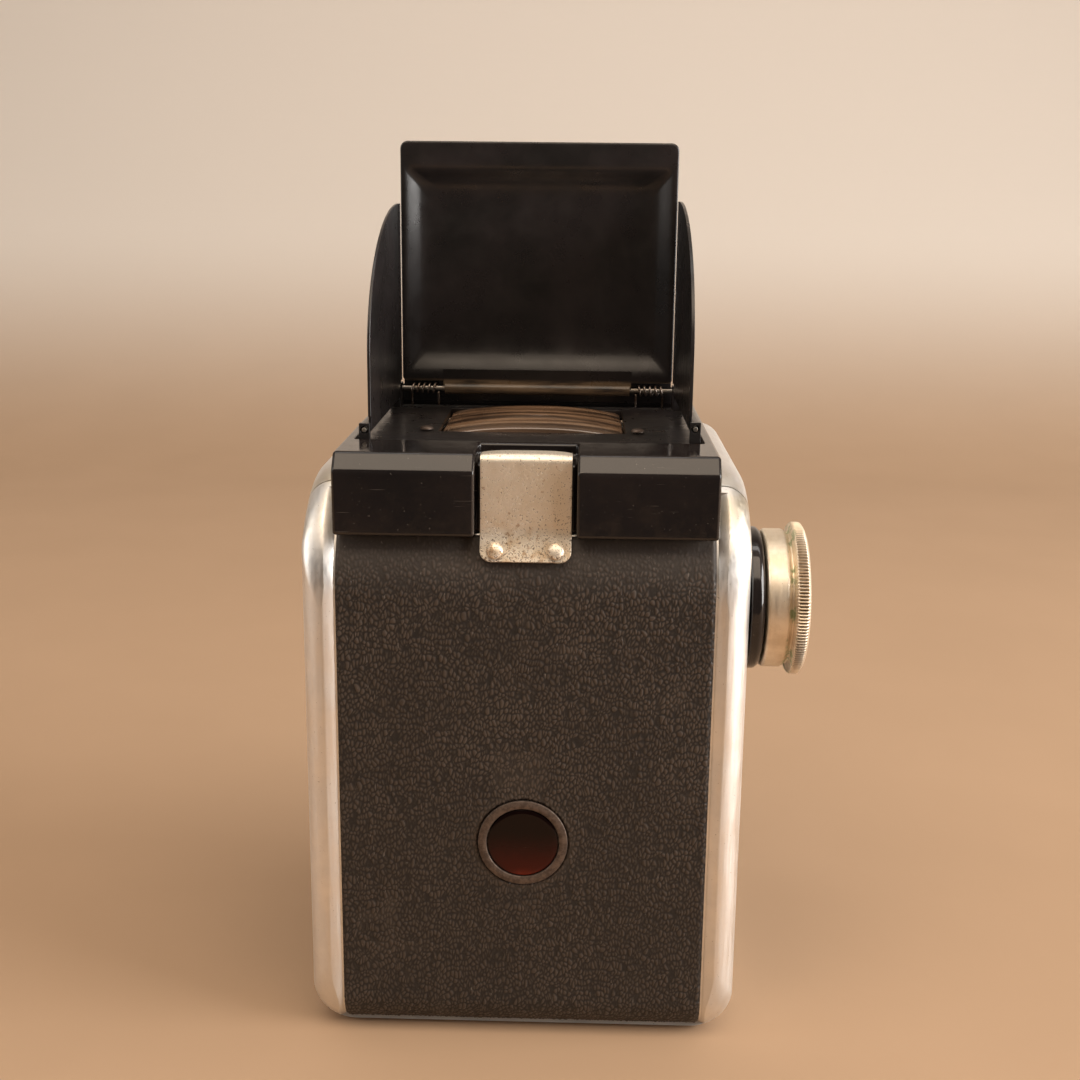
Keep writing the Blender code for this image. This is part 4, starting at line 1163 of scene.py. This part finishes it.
def make_knob():
    start = span("winding_knob")[0].x
    centre = (start, SPOOL.y, SPOOL.z)
    outline = [(0, 0.0), (12.5, 0.0), (13.0, 0.45), (13.0, 3.7), (12.75, 4.15), (12.3, 4.55)]
    outline += [(12.25, 4.9), (13.3, 5.15)]
    rim = [(13.95, 5.35), (14.15, 5.5), (14.28, 5.7), (14.3, 6.35), (14.28, 7.0), (14.15, 7.2), (13.95, 7.35)]
    face = [(13.5, 7.62), (13.0, 7.8), (12.35, 7.8), (12.2, 7.45), (0, 7.45)]
    profile = soften(outline, 0.35, 3, closed=False)[:-1] + rim + soften(face, 0.15, 2, closed=False)
    knob = lathe("knob_wheel", profile, "X", centre, KNURLS * 6, ripple=knurl)
    knob_finish = knob_nickel()
    dress(knob, "winding_knob", finish=knob_finish, angle=50)
    cap = [(0, 8.68)] + [(12.05 * math.sin(a), 7.62 + 1.06 * math.cos(a)) for a in np.linspace(0.1, 1.5, 16)]
    cap += [(12.05, 7.6), (0, 7.6)]
    dress(lathe("knob_face", cap, "X", centre, 96), "knob_cap", finish=knob_finish, angle=50)
    low, high = span("knob_boss")
    top = high.x - HALF_WIDTH
    boss = soften([(4.5, top), (12.7, top), (13.4, top - 0.9), (13.4, GAP), (4.5, GAP)], 0.4, 4)
    dress(lathe("boss", boss, "X", (HALF_WIDTH, SPOOL.y, SPOOL.z), 96, True), "knob_boss", angle=50)


# ---- finder and hood


def make_finder_lens():
    """A cylindrical lens in the finder's frame: arched along its length, with rolled edges."""
    low, high, middle, half = measured("finder_lens")
    skirt = high.z - 3.2
    crown = high.z - 0.05
    sag = 1.75
    rings = []
    profile = [(0.0, None), (0.0, 0.55), (0.12, 0.3), (0.4, 0.1)]
    profile += [(0.4 + (half.y - 0.6) * share, 0.1 * (1 - share)) for share in np.linspace(0.08, 0.97, 12)]
    for inset, below in profile:
        radius = max(0.05, min(1.5 - inset * 0.1, half.y - inset))
        ends = arc(half.x - inset - radius, inset + radius - half.y, radius, -90, 0, 6)
        ends += arc(half.x - inset - radius, half.y - inset - radius, radius, 0, 90, 6)
        reach = half.x - inset - radius
        top = [(x, half.y - inset) for x in np.linspace(reach, -reach, 32)[1:-1]]
        outline = ends + top
        outline += [(-x, y) for x, y in reversed(ends)]
        outline += [(x, inset - half.y) for x, _ in reversed(top)]
        if below is None:
            rings.append([(x, middle.y + y, skirt) for x, y in outline])
            continue
        arch = lambda x, d=below: crown - d - sag * abs(x / half.x) ** 2.4
        rings.append([(x, middle.y + y, arch(x)) for x, y in outline])
    dress(loft("finder_top_lens", rings), "finder_lens", finish=finder_glass(), angle=50)


def make_finder_rivets():
    for node in ("finder_rivet_left", "finder_rivet_right"):
        low, _, middle, _ = measured(node)
        head = [(0, 0.0), (1.3, 0.0), (1.3, 0.15)]
        head += [(1.3 * math.cos(a), 0.15 + 0.5 * math.sin(a)) for a in np.linspace(0.2, 1.4, 7)]
        head += [(0, 0.68)]
        dress(lathe(f"{node}_head", head, "Z", (middle.x, middle.y, low.z), 36), node, angle=50)


FLAP_EDGE = LID_PIN.y - 0.7  # the flaps' front edge, just clear of the lid's face and barrel
LIP_FOOT = LID_PIN.z + 1.8  # the rolled lip starts above the lugs of the lid's pin
LIP_R = 0.35
FLAP_SHEET = (1.2, 0.6)  # the sheet's two faces, inwards from its pin
FLAP_BARREL_Y, FLAP_BARREL, FLAP_BARREL_R, FLAP_BORE_R = 0.3, 44.2, 1.1, 0.75


def make_flap(side):
    """A thin sheet with a curved top and a rolled front lip, on its barrel."""
    node = f"hood_flap_{side}"
    low, high = span(node)
    pin = centre_of(f"flap_pin_{side}")
    sign = -1 if side == "left" else 1
    back_z = pin.z + 13.0
    clear_z = pin.z + 2.2
    reach = FLAP_EDGE - LIP_R - low.y
    curve = [
        (low.y + reach * (1 - math.cos(a)), back_z + (high.z - back_z) * math.sin(a))
        for a in map(math.radians, np.linspace(0, 90, 40))
    ]
    foot = [
        (FLAP_EDGE - LIP_R, LIP_FOOT), (high.y, LIP_FOOT), (high.y, clear_z), (22.4, clear_z), (22.4, pin.z),
        (-21.8, pin.z), (-21.8, clear_z), (low.y, clear_z),
    ]
    near, far = sorted(sign * (abs(pin.x) - inwards) for inwards in FLAP_SHEET)
    flap = prism(f"flap_{side}", curve + foot, near, far, "YZ")
    soft_edges(flap, 0.2, 3, 40)
    middle = (pin.x, FLAP_BARREL_Y, pin.z)
    lip_centre = (sign * (abs(pin.x) - 0.95), FLAP_EDGE - LIP_R, (LIP_FOOT + high.z) / 2)
    lip = rod("flap_lip", "Z", lip_centre, LIP_R, high.z - LIP_FOOT, 20)
    join(flap, rod("flap_barrel", "Y", middle, FLAP_BARREL_R, FLAP_BARREL, 32), lip)
    cut(flap, rod("barrel_bore", "Y", middle, FLAP_BORE_R, 60, 24))
    dress(flap, node, angle=40)


LID_SHEET = 0.7
LID_REACH = 0.26  # how much wider than its plain sheet the lid is with its turned edge
APRON = 1.65  # from the pin to the strip that closes the gap behind it
APRON_SHEET = 0.6
APRON_HALF = 30.2
APRON_STEP = 0.6  # above this height over the pin the strip is no wider than the lid, to fold past the flaps


def make_lid():
    """A pressed sheet: a turned edge, a flat border and a wide panel with soft fillets."""
    low_z, high_z = LID_PIN.z + 1.6, span("hood_lid")[1].z
    half = span("hood_lid")[1].x + LID_REACH
    face = LID_PIN.y - 0.5
    keys = np.array((
        (0.00, 0.00, 0.00, 1.70, 1.6),
        (0.00, 0.00, 0.00, 0.40, 1.6),
        (0.03, 0.04, 0.03, 0.22, 1.6),
        (0.16, 0.25, 0.16, 0.07, 1.6),
        (0.50, 0.75, 0.50, 0.00, 1.5),
        (0.95, 4.60, 1.60, 0.05, 1.4),
        (1.50, 5.60, 2.50, 0.32, 1.3),
        (2.30, 6.40, 3.60, 0.82, 1.4),
        (3.20, 7.20, 4.80, 1.42, 1.6),
        (4.10, 8.10, 6.10, 1.98, 2.0),
        (5.30, 9.30, 7.70, 2.40, 2.4),
        (7.20, 11.2, 9.80, 2.64, 2.8),
        (9.80, 13.6, 12.2, 2.70, 3.0),
    ))
    where = np.arange(len(keys))
    fine = np.linspace(0, len(keys) - 1, 40)
    front = np.stack([np.interp(fine, where, keys[:, k]) for k in range(5)], -1)
    front[1:-1] = (front[:-2] + 2 * front[1:-1] + front[2:]) / 4
    run, fall = np.gradient(front[:, 0]), np.gradient(front[:, 3])
    length = np.hypot(run, fall)
    back = front.copy()
    back[:, :3] -= (LID_SHEET * fall / length)[:, None]
    back[:, 3] += LID_SHEET * run / length
    back[-1, 3] = front[-1, 3] + LID_SHEET
    rings = []
    for side, top, base, deep, radius in np.concatenate([front[::-1], back]):
        flat = rounded(half - side, low_z + base, high_z - top, 0.6 * radius, radius, 10)
        rings.append([(x, face + deep, z) for x, z in flat])
    panel = loft("lid", rings)
    leaf = block("lid_leaf", (-20.3, face - 0.1, LID_PIN.z + 0.4), (20.3, face + 0.75, low_z + 2.6))
    join(leaf, rod("lid_knuckle", "X", LID_PIN, 1.2, 40, 48))
    cut(leaf, rod("knuckle_bore", "X", LID_PIN, 0.8, 60, 24))
    foot_z, step_z, top_z = LID_PIN.z - 3.0, LID_PIN.z + APRON_STEP, low_z + 1.8
    inner = half - 0.1
    outline = [
        (-APRON_HALF, foot_z), (APRON_HALF, foot_z), (APRON_HALF, step_z), (inner, step_z),
        (inner, top_z), (-inner, top_z), (-inner, step_z), (-APRON_HALF, step_z),
    ]
    apron = prism("lid_apron", outline, LID_PIN.y + APRON, LID_PIN.y + APRON + APRON_SHEET, "XZ")
    lid = merge("lid", [panel, leaf, soft_edges(apron, 0.15, 2)])
    # the enamel's brown below that height is a painted reflection on the barrel
    dress(lid, "hood_lid", finish=black_enamel("lid_enamel", LID_PIN.z + 1.5), angle=40)


SPRING_TURNS = 5
SPRING_R = 0.98  # of the coil, to the middle of its wire
SPRING_WIRE = 0.25  # the wire's radius


def make_springs():
    """Uneven coils round the lid's pin, each with two legs that stand on the finder's frame."""
    tarnished = steel("tarnished_steel", (0.36, 0.30, 0.26), (0.13, 0.085, 0.06))
    for node in ("lid_spring_left", "lid_spring_right"):
        low, high = span(node)
        start, end = sorted((low.x + 0.4, high.x - 0.4), key=abs)
        foot_z = LID_PIN.z - 3.7
        points = [(start, LID_PIN.y + 0.5, foot_z), (start, LID_PIN.y + 0.1, LID_PIN.z - 1.3)]
        steps = SPRING_TURNS * 20
        for i in range(steps + 1):
            a = 1.5 * math.pi + 2 * math.pi * i / 20
            x = start + (end - start) * i / steps + 0.1 * math.sin(i * 0.31)
            radius = SPRING_R + 0.04 * math.sin(i * 0.13)
            points.append((x, LID_PIN.y + radius * math.cos(a), LID_PIN.z + radius * math.sin(a)))
        points += [(end, LID_PIN.y + 0.1, LID_PIN.z - 1.3), (end, LID_PIN.y + 0.5, foot_z)]
        curve = bpy.data.curves.new(f"{node}_coil", "CURVE")
        curve.dimensions = "3D"
        curve.bevel_depth = SPRING_WIRE * MM
        curve.bevel_resolution = 3
        curve.use_fill_caps = True
        spline = curve.splines.new("POLY")
        spline.points.add(len(points) - 1)
        for point, place in zip(spline.points, points):
            point.co = (*(Vector(place) * MM), 1)
        dress(linked(f"{node}_coil", curve), node, finish=tarnished)


# ---- shutter and lenses


def lens_profile(radius, crown, sag, foot):
    """A lens with one bulging face: its edge lies a sag below the crown."""
    curve = [(radius * s, crown - sag * s * s) for s in np.linspace(0.1, 1, 14)]
    return [(0, crown), *curve, (radius, foot), (0, foot)]


def make_shutter():
    centre = (0, FRONT_BASE, LENS.z)
    outline = soften([(11, 6.4), (24.2, 6.4), (25, 5.4), (25, 0), (23.6, 0), (23.6, 5.0), (11, 5.0)], 0.7, 5)
    housing = lathe("shutter_case", outline, "Y", centre, 128, True)
    slot_low = (14, FRONT_BASE + 2.2, LENS.z - 21)
    cut(housing, block("lever_slot", slot_low, (30, FRONT_BASE + 4.2, LENS.z - 7)))
    dress(housing, "shutter_housing")
    barrel = soften([(8.2, 10.6), (10.2, 10.6), (10.6, 10.0), (10.6, 4.2), (8.2, 4.2)], 0.35, 4)
    dress(lathe("barrel", barrel, "Y", centre, 96, True), "lens_barrel")
    rim = soften([(6.6, 9.6), (7.9, 9.6), (7.9, 8.0), (6.9, 8.0)], 0.25, 3)
    dress(lathe("retaining_ring", rim, "Y", centre, 96, True), "lens_ring")
    dress(lathe("front_element", lens_profile(7.8, 8.4, 1.35, 5.6), "Y", centre, 96), "taking_lens")
    view_centre = (0, FRONT_BASE, VIEW.z)
    bezel = soften([(9.0, 3.8), (12.0, 3.8), (13.0, 2.8), (13.0, 0), (9.0, 0)], 0.5, 4)
    dress(lathe("viewing_bezel", bezel, "Y", view_centre, 96, True), "viewing_lens_bezel")
    dress(lathe("viewing_element", lens_profile(8.7, 3.0, 1.8, 0.2), "Y", view_centre, 96), "viewing_lens")


def make_screws():
    for i in range(1, 5):
        node = f"front_screw_{i}"
        low, _, middle, _ = measured(node)
        dome = [(1.8 * math.sin(a), 0.68 * math.cos(a)) for a in np.linspace(0.15, 1.5, 10)]
        head = [(0, 0.68), *dome, (1.8, 0), (0, 0)]
        screw = lathe(f"screw_head_{i}", head, "Y", (middle.x, low.y, middle.z), 40)
        slot_low = (middle.x - 2.2, low.y + 0.35, middle.z - 0.22)
        slot_cutter = block("screw_slot", slot_low, (middle.x + 2.2, low.y + 2, middle.z + 0.22))
        slot_cutter.data.transform(Matrix.Translation(-middle * MM))
        slot_cutter.data.transform(Matrix.Rotation(math.radians(23 * i), 4, "Y"))
        slot_cutter.data.transform(Matrix.Translation(middle * MM))
        cut(screw, slot_cutter)
        dress(screw, node)


make_door()
make_body()
make_back_leather()
make_side_leather()
make_front()
make_cover()
make_catch()
make_clip()
make_rivets()
make_window()
make_knob()
make_finder_lens()
make_finder_rivets()
make_flap("left")
make_flap("right")
make_lid()
make_springs()
make_shutter()
make_screws()

# how far the edges of the frame's pieces that stay are rounded
KEPT = {
    0.0: "light_cone finder_partition",
    0.05: "shutter_blade",
    0.08: "flap_pin_left flap_pin_right",
    0.1: "aperture_plate tripod_bush lever_post lid_hinge_pin door_hinge_pin pressure_plate"
    " film_roller_top film_roller_bottom",
    0.15: "finder_frame finder_mirror supply_pivot_fixed winding_shaft take_up_spool supply_spool"
    " take_up_pivot supply_pivot_sprung release_lever speed_selector",
}
for edge_width, kept_nodes in KEPT.items():
    for kept_node in kept_nodes.split():
        polish(kept_node, edge_width)


# ---- floor, light and camera


def make_floor():
    """A pale table that curves up softly into a paler wall behind."""
    half, near, far, bend, tall = 4000, -420, 1150, 650, 3000
    profile = [(near, 0.0), (far - bend, 0.0)] + arc(far - bend, bend, bend, -90, 0, 96) + [(far, tall)]
    bm = bmesh.new()
    rows = [[bm.verts.new((x, y, z)) for x in (-half, half)] for y, z in profile]
    for a, b in zip(rows, rows[1:]):
        bm.faces.new((a[0], a[1], b[1], b[0]))
    floor = made("floor", bm)
    f = Finish("pale_floor", specular=0.2)
    table = f.mix(f.noise(60, 3), (0.36, 0.232, 0.138), (0.40, 0.260, 0.158))
    f.colour(f.mix(f.span(f.axis("Z"), -0.02, 0.13), table, (0.66, 0.59, 0.52)))
    f.rough(0.7)
    floor.data.materials.append(f.material)


def area_light(name, place, aim, wide, tall, power, colour):
    light = bpy.data.lights.new(name, "AREA")
    light.shape = "RECTANGLE"
    light.size = wide * MM
    light.size_y = tall * MM
    light.energy = power
    light.color = colour
    obj = linked(name, light)
    obj.location = Vector(place) * MM
    obj.rotation_euler = (Vector(aim) - Vector(place)).to_track_quat("-Z", "Y").to_euler()


AIM = (0, 0, 60)
LIGHTS = (
    ("window_right", (1000, -240, 360), AIM, 700, 700, 19, (1.0, 0.97, 0.94)),
    ("overhead", (0, -470, 1000), AIM, 1200, 700, 9, (1.0, 0.82, 0.64)),
    ("window_left", (-1000, -200, 420), AIM, 500, 700, 3.2, (1.0, 0.96, 0.91)),
    ("wall_wash", (0, 200, 1300), (0, 1100, 300), 1600, 300, 5, (1.0, 0.97, 0.94)),
)


def make_light():
    """Soft area lights, and a room that is darker behind the camera."""
    for row in LIGHTS:
        area_light(*row)
    world = bpy.data.worlds.new("room")
    world.use_nodes = True
    nodes, links = world.node_tree.nodes, world.node_tree.links
    direction = nodes.new("ShaderNodeTexCoord").outputs["Generated"]
    split = nodes.new("ShaderNodeSeparateXYZ")
    links.new(direction, split.inputs["Vector"])
    depth = nodes.new("ShaderNodeMapRange")
    depth.interpolation_type = "SMOOTHSTEP"
    links.new(split.outputs["Y"], depth.inputs["Value"])
    for socket, number in (("From Min", -0.75), ("From Max", 0.15), ("To Min", 0.0), ("To Max", 1.0)):
        depth.inputs[socket].default_value = number
    shade = nodes.new("ShaderNodeMix")
    shade.data_type = "RGBA"
    links.new(depth.outputs["Result"], shade.inputs["Factor"])
    shade.inputs[6].default_value = (0.10, 0.082, 0.070, 1)
    shade.inputs[7].default_value = (0.66, 0.58, 0.50, 1)
    sky = nodes["Background"]
    links.new(shade.outputs[2], sky.inputs["Color"])
    sky.inputs["Strength"].default_value = 0.7
    scene.world = world


CAMERA_PLACE = (8.71, -287.39, 158.19)
CAMERA_TURN, CAMERA_DIP, CAMERA_ROLL = 1.414, 13.614, 0.616  # degrees
CAMERA_LENS = 48.33


def make_camera():
    camera = bpy.data.cameras.new("photo_view")
    camera.sensor_width = 36
    camera.lens = CAMERA_LENS
    camera.clip_start = 0.01
    camera.clip_end = 20
    obj = linked("photo_view", camera)
    place = Matrix.Translation(Vector(CAMERA_PLACE) * MM)
    turn = Matrix.Rotation(math.radians(CAMERA_TURN), 4, "Z")
    look = Matrix.Rotation(math.radians(90 - CAMERA_DIP), 4, "X")
    roll = Matrix.Rotation(math.radians(CAMERA_ROLL), 4, "Z")
    obj.matrix_world = place @ turn @ look @ roll
    scene.camera = obj
    scene.view_settings.view_transform = "Standard"


make_floor()
make_light()
make_camera()
